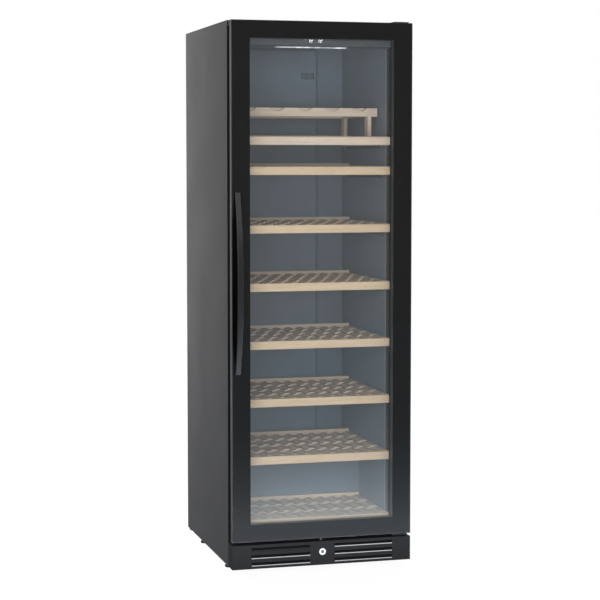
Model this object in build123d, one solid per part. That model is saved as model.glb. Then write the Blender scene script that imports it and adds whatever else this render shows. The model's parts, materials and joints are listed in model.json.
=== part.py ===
from build123d import *
import math
import os

# Free-standing wine cooler with a right-hinged glass door, in millimetres.
# +X is right and +Y is back as seen from the front, +Z is up.
# The origin is on the floor, in the middle of the whole footprint.
# Depths are measured backwards from the face of the door glass.

# Overall size
WIDTH = 595.0
DEPTH = 690.0
HEIGHT = 1760.0
HANDLE_REACH = 50.0
FOOT_HEIGHT = 20.0

# Casing sheets
SHEET = 1.0
PAN_SHEET = 2.0
CASING_FRONT = 56.0
FRONT_RETURN = 18.0
REAR_RETURN = 15.0
PLINTH_HEIGHT = 77.0

# Insulation and liner
LINER = 2.0
WALL_FOAM = 38.5
ROOF_FOAM = 39.0
REAR_FOAM = 46.0
FLOOR_FOAM = 33.0
STEP_FRONT_FOAM = 22.0
STEP_ROOF_FOAM = 32.0
MACHINE_ROOM_DEPTH = 235.0
MACHINE_ROOM_HEIGHT = 268.0
DECK_FLANGE = 38.0

# Door
DOOR_GAP_BELOW = 10.0
DOOR_GAP_ABOVE = 2.0
GLASS = 4.0
PRINT = 0.4
BORDER_SIDE = 60.5
BORDER_TOP = 55.0
BORDER_BOTTOM = 55.0
SPACER_WIDTH = 10.0
SPACER_DEPTH = 23.6
REBATE_GAP = 0.5
LIP_SETBACK = 3.0
FRAME_EDGE = 27.0
FRAME_BACK = 44.0
FRAME_STEP = 6.0
GASKET_WIDTH = 16.0
GASKET_MARGIN = 4.0
GASKET_GROOVE = 5.0
GLASS_CORNER = 3.0

# Hinges
HINGE_PLATE = 2.0
LOWER_PLATE = 4.0
LOWER_PLATE_LIFT = 2.0
HINGE_INSET = 18.0
HINGE_DEPTH = 22.0
HINGE_PLATE_WIDTH = 52.0
HINGE_PLATE_MARGIN = 7.0
HINGE_PLATE_TAIL = 60.0
LOWER_LEG_HEIGHT = 34.0
PIN_RADIUS = 4.0
PIN_LENGTH = 20.0
BUSH_WALL = 2.5
BUSH_FLANGE = 2.5
BUSH_GAP = 0.5
RUN_CLEARANCE = 0.05
SNUG_GAP = 0.2

# Handle
HANDLE_LENGTH = 574.0
HANDLE_WIDTH = 18.0
HANDLE_INSET = 10.0
HANDLE_THICKNESS = 9.0
HANDLE_END = 7.0
HANDLE_FOOT = 14.0
HANDLE_ROUND = 2.0

# Shelves
SHELF_COUNT = 6
SHELF_PITCH = 186.8
LOW_SHELF_RISE = 205.0
DISPLAY_RISE = 96.0
SHELF_SIDE_GAP = 5.0
FASCIA_FRONT = 85.0
FASCIA_THICKNESS = 18.0
FASCIA_HEIGHT = 27.0
FASCIA_ROUND = 3.0
SHELF_DUCT_GAP = 56.0
SHELF_REAR_GAP = 4.0
RAIL_SETBACK = 2.0
RAIL_WIDTH = 27.0
RAIL_HEIGHT = 18.5
REAR_RAIL = 18.0
SLAT_WIDTH = 86.0
SLAT_THICKNESS = 10.0
SLAT_FIRST = 162.5
SLAT_LAST_INSET = 71.5
SLAT_COUNT = 3
LOW_SLAT_COUNT = 2
FRONT_SLAT_WIDTH = 78.0
NARROW_SLAT_WIDTH = 45.0
SCALLOP_END = 21.2
SCALLOP_LAND = 13.0
SCALLOP_DEPTH = 6.0
SCALLOP_COUNT = 11
RUNNER_WIDTH = 18.0
RUNNER_HEIGHT = 10.0
RUNNER_FRONT = 60.0
RUNNER_SHORT = 19.0
RUNNER_ROUND = 4.0

# Raised display rack
RACK_FIRST = 146.0
RACK_LAST_INSET = 41.0
RACK_LEG_HEIGHT = 67.0
RACK_LEG_WIDTH = 12.0
RACK_LEG_DEPTH = 34.0
RACK_SIDE_INSET = 29.0
RACK_BAR_HEIGHT = 27.0
RACK_BAR_DEPTH = 18.0
RACK_RAIL_HEIGHT = 16.0
RACK_SCALLOP_END = 37.0
RACK_SCALLOP_LAND = 46.0
RACK_SCALLOP_DEPTH = 11.0
RACK_SCALLOP_COUNT = 5

# Control housing, display and lamp
CONTROL_FRONT = 66.0
CONTROL_DEPTH = 100.0
CONTROL_HEIGHT = 33.0
CONTROL_SIDE_GAP = 6.0
CONTROL_NOSE = 14.0
DISPLAY_WIDTH = 120.0
DISPLAY_HEIGHT = 23.0
DISPLAY_THICKNESS = 2.5
DISPLAY_POCKET = 1.5
LED_LENGTH = 242.0
LED_WIDTH = 24.0
LED_HEIGHT = 6.0
LED_POCKET = 3.5
LED_DEPTH = 130.0

# Air duct, evaporator and its fan
DUCT_WIDTH = 300.0
DUCT_DEPTH = 40.0
DUCT_WALL = 2.5
DUCT_END_GAP = 15.0
OUTLET_ROWS = 7
OUTLET_FIRST = 90.0
OUTLET_PITCH = 150.0
OUTLET_HEIGHT = 60.0
OUTLET_WIDTH = 10.0
INTAKE_DROP = 88.0
INTAKE_SIDE_INSET = 32.0
INTAKE_COUNT = 5
INTAKE_PITCH = 10.0
INTAKE_SLOT = 5.0
INTAKE_HEIGHT = 24.0
FAN_DROP = 130.0
EVAPORATOR_DROP = 240.0
EVAPORATOR_WIDTH = 220.0
EVAPORATOR_HEIGHT = 160.0
EVAPORATOR_DEPTH = 28.0

# Finned coils
FIN = 1.0
FIN_COUNT = 9
TUBE_RADIUS = 4.0
TUBE_ROWS = 4

# Small fans
EVAPORATOR_FAN_RADIUS = 46.0
CONDENSER_FAN_RADIUS = 65.0
FAN_HUB_SHARE = 0.3
FAN_ROOT_SHARE = 0.8
FAN_BLADES = 5
FAN_BLADE_THICKNESS = 1.6
FAN_ROOT_PITCH = 50.0
FAN_TIP_PITCH = 25.0
FAN_LENGTH = 14.0
SHAFT_RADIUS = 2.5
MOTOR_LENGTH = 14.0
MOTOR_RADIUS = 17.0
MOTOR_PLATE = 60.0

# Machine room
MACHINE_COVER_RECESS = 8.0
MACHINE_COVER = 2.0
VENT_SLOT_LENGTH = 90.0
VENT_SLOT_HEIGHT = 6.0
VENT_SLOT_PITCH = 16.0
VENT_SLOT_ROWS = 8
VENT_COLUMN_OFFSET = 130.0
GLAND_RADIUS = 11.0
GLAND_BORE = 4.5
GLAND_LENGTH = 18.0
GLAND_FLANGE = 4.0
GLAND_FLANGE_RADIUS = 15.0
GLAND_SIDE_INSET = 51.5
GLAND_HEIGHT = 60.0
COMPRESSOR_SIDE_INSET = 146.5
COMPRESSOR_SETBACK = 115.0
COMPRESSOR_RADIUS = 75.0
COMPRESSOR_HEIGHT = 166.0
COMPRESSOR_SEAM = 4.0
COMPRESSOR_PLATE = 3.0
COMPRESSOR_PLATE_WIDTH = 190.0
COMPRESSOR_PLATE_DEPTH = 150.0
GROMMET_RADIUS = 12.0
GROMMET_HEIGHT = 14.0
GROMMET_INSET = 16.0
RELAY_WIDTH = 50.0
RELAY_HEIGHT = 60.0
RELAY_DEPTH = 24.0
CONDENSER_SIDE_INSET = 118.5
CONDENSER_WIDTH = 124.0
CONDENSER_LENGTH = 150.0
CONDENSER_HEIGHT = 120.0
TRAY_HEIGHT = 22.0
TRAY_WALL = 2.0
SHROUD_GAP = 12.0
SHROUD_PLATE = 3.0
SHROUD_SIZE = 160.0
SHROUD_RING = 2.0
SHROUD_TIP_GAP = 6.0
PIPE_RADIUS = 4.0
PIPE_BEND = 30.0
PIPE_RISE = 45.0

# Plinth, lock and feet
PLINTH_WALL = 2.5
PLINTH_LEDGE = 48.0
PLINTH_FOOT = 30.0
LOUVRE_COUNT = 3
LOUVRE_LENGTH = 196.0
LOUVRE_INNER = 40.0
LOUVRE_HEIGHT = 8.0
LOUVRE_PITCH = 24.0
LOUVRE_FIRST = 12.0
LOUVRE_BLADE = 1.6
LOUVRE_REACH = 9.0
LOUVRE_RISE = 5.0
LOCK_HEIGHT = 43.0
LOCK_RING_RADIUS = 11.3
LOCK_RING = 1.5
LOCK_RADIUS = 6.0
LOCK_BARREL = 9.0
LOCK_CASE_HALF = 17.0
LOCK_CASE_TALL = 48.0
LOCK_CASE_BACK = 26.0
LOCK_DISC_RADIUS = 11.0
LOCK_DISC = 3.0
LOCK_DISC_DEPTH = 14.0
LOCK_GAP = 0.3
CRANK_RADIUS = 8.0
CRANK_START = -45.0
CRANK_PIN_RADIUS = 2.0
CRANK_SLOT_GAP = 0.4
BOLT_DEPTH = 18.0
BOLT_THICKNESS = 4.0
BOLT_YOKE_HALF = 13.0
BOLT_YOKE_HEIGHT = 20.0
BOLT_HALF = 3.0
BOLT_SHOW = 5.0
KEY_SLOT = 1.6
KEY_SLOT_LENGTH = 7.0
KEY_SLOT_DEPTH = 6.0
FOOT_RADIUS = 17.0
FOOT_PAD = 7.0
FOOT_NECK_RADIUS = 11.0
FOOT_STUD_RADIUS = 5.0
FOOT_STUD = 24.0
FOOT_GAP = 0.5
FOOT_SIDE_INSET = 25.0
FOOT_FRONT_DEPTH = 140.0
FOOT_REAR_INSET = 180.0
FOOT_BOSS_RADIUS = 10.0
FOOT_BOSS = 12.0

# Places that follow from the sizes above
HALF_WIDTH = WIDTH / 2
DOOR_FACE_Y = HANDLE_REACH - (DEPTH + HANDLE_REACH) / 2
CASING_TOP = HEIGHT - HINGE_PLATE
PAN_TOP = FOOT_HEIGHT + PAN_SHEET
ROOF_UNDERSIDE = CASING_TOP - SHEET
INNER_HALF = HALF_WIDTH - SHEET
FLANGE_FACE = CASING_FRONT + SHEET
FOAM_FRONT = FLANGE_FACE + LINER
FOAM_BACK = DEPTH - 2 * SHEET
PLINTH_TOP = FOOT_HEIGHT + PLINTH_HEIGHT
DECK_TOP = PLINTH_TOP + SHEET
CAVITY_HALF = INNER_HALF - WALL_FOAM - LINER
CAVITY_FLOOR = DECK_TOP + FLOOR_FOAM + LINER
CAVITY_CEILING = ROOF_UNDERSIDE - ROOF_FOAM - LINER
CAVITY_BACK = FOAM_BACK - REAR_FOAM - LINER
MACHINE_FRONT = DEPTH - MACHINE_ROOM_DEPTH
MACHINE_TOP = PAN_TOP + MACHINE_ROOM_HEIGHT
MACHINE_BACK = DEPTH - MACHINE_COVER_RECESS
STEP_FRONT = MACHINE_FRONT - SHEET - STEP_FRONT_FOAM - LINER
STEP_TOP = MACHINE_TOP + SHEET + STEP_ROOF_FOAM + LINER
DOOR_BOTTOM = PLINTH_TOP + DOOR_GAP_BELOW
DOOR_TOP = CASING_TOP - DOOR_GAP_ABOVE
HANDLE_MIDDLE_HEIGHT = (DOOR_BOTTOM + DOOR_TOP) / 2
WINDOW_HALF = HALF_WIDTH - BORDER_SIDE
WINDOW_BOTTOM = DOOR_BOTTOM + BORDER_BOTTOM
WINDOW_TOP = DOOR_TOP - BORDER_TOP
SPACER_FRONT = GLASS + PRINT
INNER_GLASS_FRONT = SPACER_FRONT + SPACER_DEPTH
INNER_GLASS_BACK = INNER_GLASS_FRONT + GLASS
HINGE_X = HALF_WIDTH - HINGE_INSET
LOWER_PLATE_TOP = PLINTH_TOP + LOWER_PLATE_LIFT + LOWER_PLATE
DUCT_FRONT = CAVITY_BACK - DUCT_DEPTH
SHELF_HALF = CAVITY_HALF - SHELF_SIDE_GAP
SHELF_DEPTH = DUCT_FRONT - SHELF_DUCT_GAP - FASCIA_FRONT
SLAT_PITCH = (SHELF_DEPTH - SLAT_FIRST - SLAT_LAST_INSET) / (SLAT_COUNT - 1)
RACK_PITCH = (SHELF_DEPTH - RACK_FIRST - RACK_LAST_INSET) / (SLAT_COUNT - 1)
RACK_LEG_X = SHELF_HALF - RACK_SIDE_INSET
RUNNER_LENGTH = SHELF_DEPTH - RUNNER_FRONT - RUNNER_SHORT
FASCIA_BACK = FASCIA_FRONT + FASCIA_THICKNESS
RAIL_HALF = SHELF_HALF - RAIL_SETBACK
LOW_SHELF_TOP = CAVITY_FLOOR + FASCIA_HEIGHT
LOW_SHELF_DEPTH = STEP_FRONT - SHELF_REAR_GAP - FASCIA_FRONT
SHELF_TOPS = [LOW_SHELF_TOP + LOW_SHELF_RISE + i * SHELF_PITCH for i in range(SHELF_COUNT)]
DISPLAY_TOP = SHELF_TOPS[-1] + DISPLAY_RISE
CONTROL_BOTTOM = CAVITY_CEILING - CONTROL_HEIGHT
DUCT_TOP = CAVITY_CEILING - DUCT_END_GAP
DUCT_BOTTOM = STEP_TOP + DUCT_END_GAP
EVAPORATOR_FAN_Z = DUCT_TOP - FAN_DROP
COMPRESSOR_X = INNER_HALF - COMPRESSOR_SIDE_INSET
COMPRESSOR_DEPTH = MACHINE_FRONT + COMPRESSOR_SETBACK
CONDENSER_X = CONDENSER_SIDE_INSET - INNER_HALF
GLAND_X = GLAND_SIDE_INSET - INNER_HALF
GLAND_Z = PAN_TOP + GLAND_HEIGHT
FOOT_REAR_DEPTH = DEPTH - FOOT_REAR_INSET
LOCK_Z = FOOT_HEIGHT + LOCK_HEIGHT


def block(x_low, x_high, front, back, z_low, z_high):
    """A box between planes, with front and back as depths behind the door face."""
    middle = ((x_low + x_high) / 2, DOOR_FACE_Y + (front + back) / 2, (z_low + z_high) / 2)
    return Pos(*middle) * Box(x_high - x_low, back - front, z_high - z_low)


def along_x(points, x_low, x_high):
    """A depth and height outline carried from x_low to x_high."""
    outline = [(DOOR_FACE_Y + depth, z) for depth, z in points]
    face = make_face(Polyline(*outline, close=True))
    return extrude(Plane.YZ.offset(x_low) * face, x_high - x_low)


def along_y(face, front, back):
    """A face drawn in X and Z carried from one depth to another."""
    plane = Plane.XZ.offset(-(DOOR_FACE_Y + back))
    return extrude(plane * face, back - front)


def rod_x(radius, x_low, x_high, depth, z):
    middle = ((x_low + x_high) / 2, DOOR_FACE_Y + depth, z)
    return Pos(*middle) * Rot(0, 90, 0) * Cylinder(radius, x_high - x_low)


def rod_y(radius, x, front, back, z):
    middle = (x, DOOR_FACE_Y + (front + back) / 2, z)
    return Pos(*middle) * Rot(90, 0, 0) * Cylinder(radius, back - front)


def rod_z(radius, x, depth, z_low, z_high):
    return Pos(x, DOOR_FACE_Y + depth, (z_low + z_high) / 2) * Cylinder(radius, z_high - z_low)


def frame_ring(outer, inner, front, back):
    """A rectangular ring. Outer and inner are half width, lowest and highest."""
    ring = block(-outer[0], outer[0], front, back, outer[1], outer[2])
    return ring - block(-inner[0], inner[0], front, back, inner[1], inner[2])


# Casing


def inward(side, outer, width):
    """Lowest and highest X of a strip that runs inwards from an outer face on one side."""
    return sorted((side * outer, side * (outer - width)))


def side_panel(side):
    low, high = PAN_TOP, ROOF_UNDERSIDE
    panel = block(*inward(side, HALF_WIDTH, SHEET), CASING_FRONT, DEPTH, low, high)
    panel += block(*inward(side, HALF_WIDTH, FRONT_RETURN), CASING_FRONT, FLANGE_FACE, low, high)
    return panel + block(*inward(side, HALF_WIDTH, REAR_RETURN), DEPTH - SHEET, DEPTH, low, high)


def top_panel():
    tip = HALF_WIDTH - FRONT_RETURN
    sheet = block(-HALF_WIDTH, HALF_WIDTH, CASING_FRONT, DEPTH, ROOF_UNDERSIDE, CASING_TOP)
    return sheet + block(-tip, tip, CASING_FRONT, FLANGE_FACE, CASING_TOP - FRONT_RETURN, CASING_TOP)


def back_panel():
    return block(-INNER_HALF, INNER_HALF, FOAM_BACK, FOAM_BACK + SHEET, MACHINE_TOP + SHEET, ROOF_UNDERSIDE)


def base_pan():
    pan = block(-HALF_WIDTH, HALF_WIDTH, CASING_FRONT, DEPTH, FOOT_HEIGHT, PAN_TOP)
    for x, depth in foot_places():
        pan += rod_z(FOOT_BOSS_RADIUS, x, depth, PAN_TOP, PAN_TOP + FOOT_BOSS)
    for x, depth in foot_places():
        bore = FOOT_STUD_RADIUS + RUN_CLEARANCE
        pan -= rod_z(bore, x, depth, FOOT_HEIGHT, PAN_TOP + FOOT_BOSS)
    return pan


def deck_panel():
    outline = [
        (FLANGE_FACE, DECK_TOP - DECK_FLANGE),
        (FLANGE_FACE + SHEET, DECK_TOP - DECK_FLANGE),
        (FLANGE_FACE + SHEET, PLINTH_TOP),
        (MACHINE_FRONT, PLINTH_TOP),
        (MACHINE_FRONT, MACHINE_TOP),
        (FOAM_BACK, MACHINE_TOP),
        (FOAM_BACK, MACHINE_TOP + SHEET),
        (MACHINE_FRONT - SHEET, MACHINE_TOP + SHEET),
        (MACHINE_FRONT - SHEET, DECK_TOP),
        (FLANGE_FACE, DECK_TOP),
    ]
    return along_x(outline, -INNER_HALF, INNER_HALF)


def cavity(wall):
    """The stepped cooling space, grown by a wall on every side but its mouth."""
    outline = [
        (FLANGE_FACE, CAVITY_FLOOR - wall),
        (STEP_FRONT + wall, CAVITY_FLOOR - wall),
        (STEP_FRONT + wall, STEP_TOP - wall),
        (CAVITY_BACK + wall, STEP_TOP - wall),
        (CAVITY_BACK + wall, CAVITY_CEILING + wall),
        (FLANGE_FACE, CAVITY_CEILING + wall),
    ]
    return along_x(outline, -CAVITY_HALF - wall, CAVITY_HALF + wall)


def insulation_foam():
    outline = [
        (FOAM_FRONT, DECK_TOP),
        (MACHINE_FRONT - SHEET, DECK_TOP),
        (MACHINE_FRONT - SHEET, MACHINE_TOP + SHEET),
        (FOAM_BACK, MACHINE_TOP + SHEET),
        (FOAM_BACK, ROOF_UNDERSIDE),
        (FOAM_FRONT, ROOF_UNDERSIDE),
    ]
    return along_x(outline, -INNER_HALF, INNER_HALF) - cavity(LINER)


def inner_liner():
    flange = block(-INNER_HALF, INNER_HALF, FLANGE_FACE, FOAM_FRONT, DECK_TOP, ROOF_UNDERSIDE)
    return flange + cavity(LINER) - cavity(0)


def shelf_runners():
    runners = []
    front = FASCIA_FRONT + RUNNER_FRONT
    for top in SHELF_TOPS + [DISPLAY_TOP]:
        seat = top - FASCIA_HEIGHT
        for side in (-1, 1):
            width = inward(side, CAVITY_HALF, RUNNER_WIDTH)
            bar = block(*width, front, front + RUNNER_LENGTH, seat - RUNNER_HEIGHT, seat)
            nose = bar.edges().filter_by(Axis.X).group_by(Axis.Y)[0].group_by(Axis.Z)[0]
            runners.append(fillet(nose, RUNNER_ROUND))
    return runners


def machine_cover():
    cover = block(-INNER_HALF, INNER_HALF, MACHINE_BACK - MACHINE_COVER, MACHINE_BACK, PAN_TOP, MACHINE_TOP)
    first = (PAN_TOP + MACHINE_TOP - (VENT_SLOT_ROWS - 1) * VENT_SLOT_PITCH) / 2
    slot = SlotOverall(VENT_SLOT_LENGTH, VENT_SLOT_HEIGHT)
    for row in range(VENT_SLOT_ROWS):
        for column in (-1, 0, 1):
            middle = Pos(column * VENT_COLUMN_OFFSET, first + row * VENT_SLOT_PITCH)
            cover -= along_y(middle * slot, MACHINE_BACK - MACHINE_COVER, MACHINE_BACK)
    hole = GLAND_RADIUS + SNUG_GAP
    return cover - rod_y(hole, GLAND_X, MACHINE_BACK - MACHINE_COVER, MACHINE_BACK, GLAND_Z)


def cord_gland():
    gland = rod_y(GLAND_RADIUS, GLAND_X, MACHINE_BACK + GLAND_FLANGE - GLAND_LENGTH, MACHINE_BACK, GLAND_Z)
    gland += rod_y(GLAND_FLANGE_RADIUS, GLAND_X, MACHINE_BACK, MACHINE_BACK + GLAND_FLANGE, GLAND_Z)
    return gland - rod_y(GLAND_BORE, GLAND_X, MACHINE_BACK - GLAND_LENGTH, DEPTH, GLAND_Z)


# Door


def front_glass():
    pane = block(-HALF_WIDTH, HALF_WIDTH, 0, GLASS, DOOR_BOTTOM, DOOR_TOP)
    return fillet(pane.edges().filter_by(Axis.Y), GLASS_CORNER)


def window(margin):
    """Half width, bottom and top of the see-through field, grown by a margin."""
    return WINDOW_HALF + margin, WINDOW_BOTTOM - margin, WINDOW_TOP + margin


def door_outline(inset):
    return HALF_WIDTH - inset, DOOR_BOTTOM + inset, DOOR_TOP - inset


def printed_border():
    return frame_ring(door_outline(GLASS_CORNER), window(0), GLASS, SPACER_FRONT)


def spacer_bar():
    return frame_ring(window(SPACER_WIDTH), window(0), SPACER_FRONT, INNER_GLASS_FRONT)


def inner_glass():
    half, low, high = window(SPACER_WIDTH)
    return block(-half, half, INNER_GLASS_FRONT, INNER_GLASS_BACK, low, high)


def door_frame():
    """Two stiles with the corners and two rails between them, around the glazing."""
    rebate = window(SPACER_WIDTH + REBATE_GAP)
    lip = window(LIP_SETBACK)
    ring = frame_ring(door_outline(0), rebate, SPACER_FRONT, FRAME_EDGE)
    ring += frame_ring(door_outline(FRAME_STEP), rebate, FRAME_EDGE, INNER_GLASS_BACK)
    ring += frame_ring(door_outline(FRAME_STEP), lip, INNER_GLASS_BACK, FRAME_BACK)
    corners = ring.edges().filter_by(Axis.Y).filter_by(lambda edge: abs(edge.center().X) > HALF_WIDTH - SHEET)
    ring = fillet(corners, GLASS_CORNER)
    bore = PIN_RADIUS + RUN_CLEARANCE + BUSH_WALL
    ring -= rod_z(bore, HINGE_X, HINGE_DEPTH, DOOR_BOTTOM, DOOR_BOTTOM + PIN_LENGTH)
    ring -= rod_z(bore, HINGE_X, HINGE_DEPTH, DOOR_TOP - PIN_LENGTH, DOOR_TOP)
    socket_half = BOLT_HALF + CRANK_SLOT_GAP
    socket_front = BOLT_DEPTH - CRANK_SLOT_GAP
    socket_back = BOLT_DEPTH + BOLT_THICKNESS + CRANK_SLOT_GAP
    socket_top = DOOR_BOTTOM + bolt_lift()
    ring -= block(-socket_half, socket_half, socket_front, socket_back, DOOR_BOTTOM, socket_top)
    middle = block(-lip[0], lip[0], 0, CASING_FRONT, 0, HEIGHT)
    return (ring - middle).solids() + (ring & middle).solids()


def door_gasket():
    """Four lengths with a bellows groove along both flanks, around the cavity mouth."""
    inner = (CAVITY_HALF + GASKET_MARGIN, CAVITY_FLOOR - GASKET_MARGIN, CAVITY_CEILING + GASKET_MARGIN)
    outer = (inner[0] + GASKET_WIDTH, inner[1] - GASKET_WIDTH, inner[2] + GASKET_WIDTH)
    waist_inner = (inner[0] + GASKET_GROOVE, inner[1] - GASKET_GROOVE, inner[2] + GASKET_GROOVE)
    waist_outer = (outer[0] - GASKET_GROOVE, outer[1] + GASKET_GROOVE, outer[2] - GASKET_GROOVE)
    third = (FLANGE_FACE - FRAME_BACK) / 3
    ring = frame_ring(outer, inner, FRAME_BACK, FRAME_BACK + third)
    ring += frame_ring(waist_outer, waist_inner, FRAME_BACK + third, FRAME_BACK + 2 * third)
    ring += frame_ring(outer, inner, FRAME_BACK + 2 * third, FLANGE_FACE)
    middle = block(-inner[0], inner[0], FRAME_BACK, FLANGE_FACE, outer[1], outer[2])
    return (ring - middle).solids() + (ring & middle).solids()


def handle_bar():
    low = HANDLE_MIDDLE_HEIGHT - HANDLE_LENGTH / 2
    high = HANDLE_MIDDLE_HEIGHT + HANDLE_LENGTH / 2
    face_y = DOOR_FACE_Y
    outer_y = face_y - HANDLE_REACH
    inner_y = outer_y + HANDLE_THICKNESS
    outer = ThreePointArc(
        (face_y - HANDLE_END, low), (outer_y, HANDLE_MIDDLE_HEIGHT), (face_y - HANDLE_END, high)
    )
    inner = ThreePointArc(
        (face_y, low + HANDLE_FOOT), (inner_y, HANDLE_MIDDLE_HEIGHT), (face_y, high - HANDLE_FOOT)
    )
    top = Polyline((face_y - HANDLE_END, high), (face_y, high), (face_y, high - HANDLE_FOOT))
    bottom = Polyline((face_y - HANDLE_END, low), (face_y, low), (face_y, low + HANDLE_FOOT))
    profile = make_face(Curve() + [outer, inner, top, bottom])
    left = HANDLE_INSET - HALF_WIDTH
    bar = extrude(Plane.YZ.offset(left) * profile, HANDLE_WIDTH)
    long_edges = bar.edges().filter_by(GeomType.CIRCLE).sort_by(Axis.Y)[:2]
    return fillet(long_edges, HANDLE_ROUND)


def hinge_bushes():
    """Flanged plain bearings pressed into the ends of the hinge stile."""
    bore = PIN_RADIUS + RUN_CLEARANCE
    wall = bore + BUSH_WALL
    flange = wall + BUSH_FLANGE
    lower = rod_z(wall, HINGE_X, HINGE_DEPTH, DOOR_BOTTOM, DOOR_BOTTOM + PIN_LENGTH)
    lower += rod_z(flange, HINGE_X, HINGE_DEPTH, LOWER_PLATE_TOP, DOOR_BOTTOM)
    upper = rod_z(wall, HINGE_X, HINGE_DEPTH, DOOR_TOP - PIN_LENGTH, DOOR_TOP)
    upper += rod_z(flange, HINGE_X, HINGE_DEPTH, DOOR_TOP, CASING_TOP - BUSH_GAP)
    hole = rod_z(bore, HINGE_X, HINGE_DEPTH, 0, HEIGHT)
    return [lower - hole, upper - hole]


def hinge_plate_upper():
    right = HINGE_X + PIN_RADIUS + HINGE_PLATE_MARGIN
    left = right - HINGE_PLATE_WIDTH
    front = HINGE_DEPTH - PIN_RADIUS - HINGE_PLATE_MARGIN
    back = CASING_FRONT + HINGE_PLATE_TAIL
    plate = block(left, right, front, back, CASING_TOP, HEIGHT)
    plate = fillet(plate.edges().filter_by(Axis.Z), PIN_RADIUS)
    pin = rod_z(PIN_RADIUS, HINGE_X, HINGE_DEPTH, DOOR_TOP - PIN_LENGTH + BUSH_GAP, CASING_TOP)
    return plate + pin


def hinge_plate_lower():
    """An angle whose leg lies on the deck flange and whose shelf carries the pin."""
    right = HINGE_X + PIN_RADIUS + HINGE_PLATE_MARGIN
    leg_right = HALF_WIDTH - FRONT_RETURN
    left = right - HINGE_PLATE_WIDTH
    front = HINGE_DEPTH - PIN_RADIUS - HINGE_PLATE_MARGIN
    low = LOWER_PLATE_TOP - LOWER_PLATE
    shelf = block(left, right, front, CASING_FRONT, low, LOWER_PLATE_TOP)
    shelf = fillet(shelf.edges().filter_by(Axis.Z).group_by(Axis.Y)[0], PIN_RADIUS)
    leg_front = FLANGE_FACE - LOWER_PLATE
    leg = block(left, leg_right, leg_front, FLANGE_FACE, low - LOWER_LEG_HEIGHT, LOWER_PLATE_TOP)
    pin = rod_z(PIN_RADIUS, HINGE_X, HINGE_DEPTH, LOWER_PLATE_TOP, DOOR_BOTTOM + PIN_LENGTH - BUSH_GAP)
    return shelf + leg + pin


# Shelves


def scalloped_face(half, low, high, end, land, depth, count):
    """A bar seen from the front, with shallow bottle rests along its top edge."""
    pitch = (2 * (half - end) + land) / count
    edges = [Polyline((-half, high), (-half, low), (half, low), (half, high))]
    reach = (pitch - land) / 2
    at = half
    for i in range(count):
        centre = ((count - 1) / 2 - i) * pitch
        edges.append(Line((at, high), (centre + reach, high)))
        edges.append(ThreePointArc((centre + reach, high), (centre, high - depth), (centre - reach, high)))
        at = centre - reach
    edges.append(Line((at, high), (-half, high)))
    return make_face(Curve() + edges)


def shelf_fascia(top):
    board = block(-SHELF_HALF, SHELF_HALF, FASCIA_FRONT, FASCIA_BACK, top - FASCIA_HEIGHT, top)
    return fillet(board.edges().filter_by(Axis.X).group_by(Axis.Y)[0], FASCIA_ROUND)


def shelf_rack(top, depth, centres, slat_width, scalloped):
    """Side rails with slats and a taller rear rail lying across them."""
    seat = top - FASCIA_HEIGHT + RAIL_HEIGHT
    back = FASCIA_FRONT + depth
    pieces = []
    for side in (-1, 1):
        width = inward(side, RAIL_HALF, RAIL_WIDTH)
        pieces.append(block(*width, FASCIA_BACK, back, seat - RAIL_HEIGHT, seat))
    pieces.append(block(-RAIL_HALF, RAIL_HALF, back - REAR_RAIL, back, seat, seat + REAR_RAIL))
    if scalloped:
        face = scalloped_face(
            RAIL_HALF, seat, seat + SLAT_THICKNESS, SCALLOP_END, SCALLOP_LAND, SCALLOP_DEPTH, SCALLOP_COUNT
        )
    else:
        face = Pos(0, seat + SLAT_THICKNESS / 2) * Rectangle(2 * RAIL_HALF, SLAT_THICKNESS)
    pieces.append(along_y(face, FASCIA_BACK, FASCIA_BACK + FRONT_SLAT_WIDTH))
    for centre in centres:
        middle = FASCIA_FRONT + centre
        pieces.append(along_y(face, middle - slat_width / 2, middle + slat_width / 2))
    return pieces


def slat_centres(count):
    return [SLAT_FIRST + i * SLAT_PITCH for i in range(count)]


def rack_centres():
    return [RACK_FIRST + i * RACK_PITCH for i in range(SLAT_COUNT)]


def display_rack():
    """The raised tier: two scalloped bars on four legs, with rails and slats between."""
    foot = DISPLAY_TOP - FASCIA_HEIGHT + RAIL_HEIGHT + SLAT_THICKNESS
    seat = foot + RACK_LEG_HEIGHT
    front = FASCIA_FRONT + rack_centres()[0] - RACK_LEG_DEPTH / 2
    back = FASCIA_FRONT + rack_centres()[-1] + RACK_LEG_DEPTH / 2
    rail_top = seat + RACK_RAIL_HEIGHT
    top = seat + RACK_BAR_HEIGHT
    bar = scalloped_face(
        RAIL_HALF,
        seat,
        top,
        RACK_SCALLOP_END,
        RACK_SCALLOP_LAND,
        RACK_SCALLOP_DEPTH,
        RACK_SCALLOP_COUNT,
    )
    bar_back = front + RACK_BAR_DEPTH
    rear_bar = back - RACK_BAR_DEPTH
    pieces = [along_y(bar, front, bar_back), along_y(bar, rear_bar, back)]
    for side in (-1, 1):
        middle = side * RACK_LEG_X
        left = middle - RACK_LEG_WIDTH / 2
        right = middle + RACK_LEG_WIDTH / 2
        pieces.append(block(left, right, bar_back, rear_bar, seat, rail_top))
        pieces.append(block(left, right, front, front + RACK_LEG_DEPTH, foot, seat))
        pieces.append(block(left, right, back - RACK_LEG_DEPTH, back, foot, seat))
    half = RACK_LEG_X + RACK_LEG_WIDTH / 2
    pieces.append(block(-half, half, bar_back, bar_back + NARROW_SLAT_WIDTH, rail_top, top))
    pieces.append(block(-half, half, rear_bar - NARROW_SLAT_WIDTH, rear_bar, rail_top, top))
    return pieces


# Control housing, lamp and air duct


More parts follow.
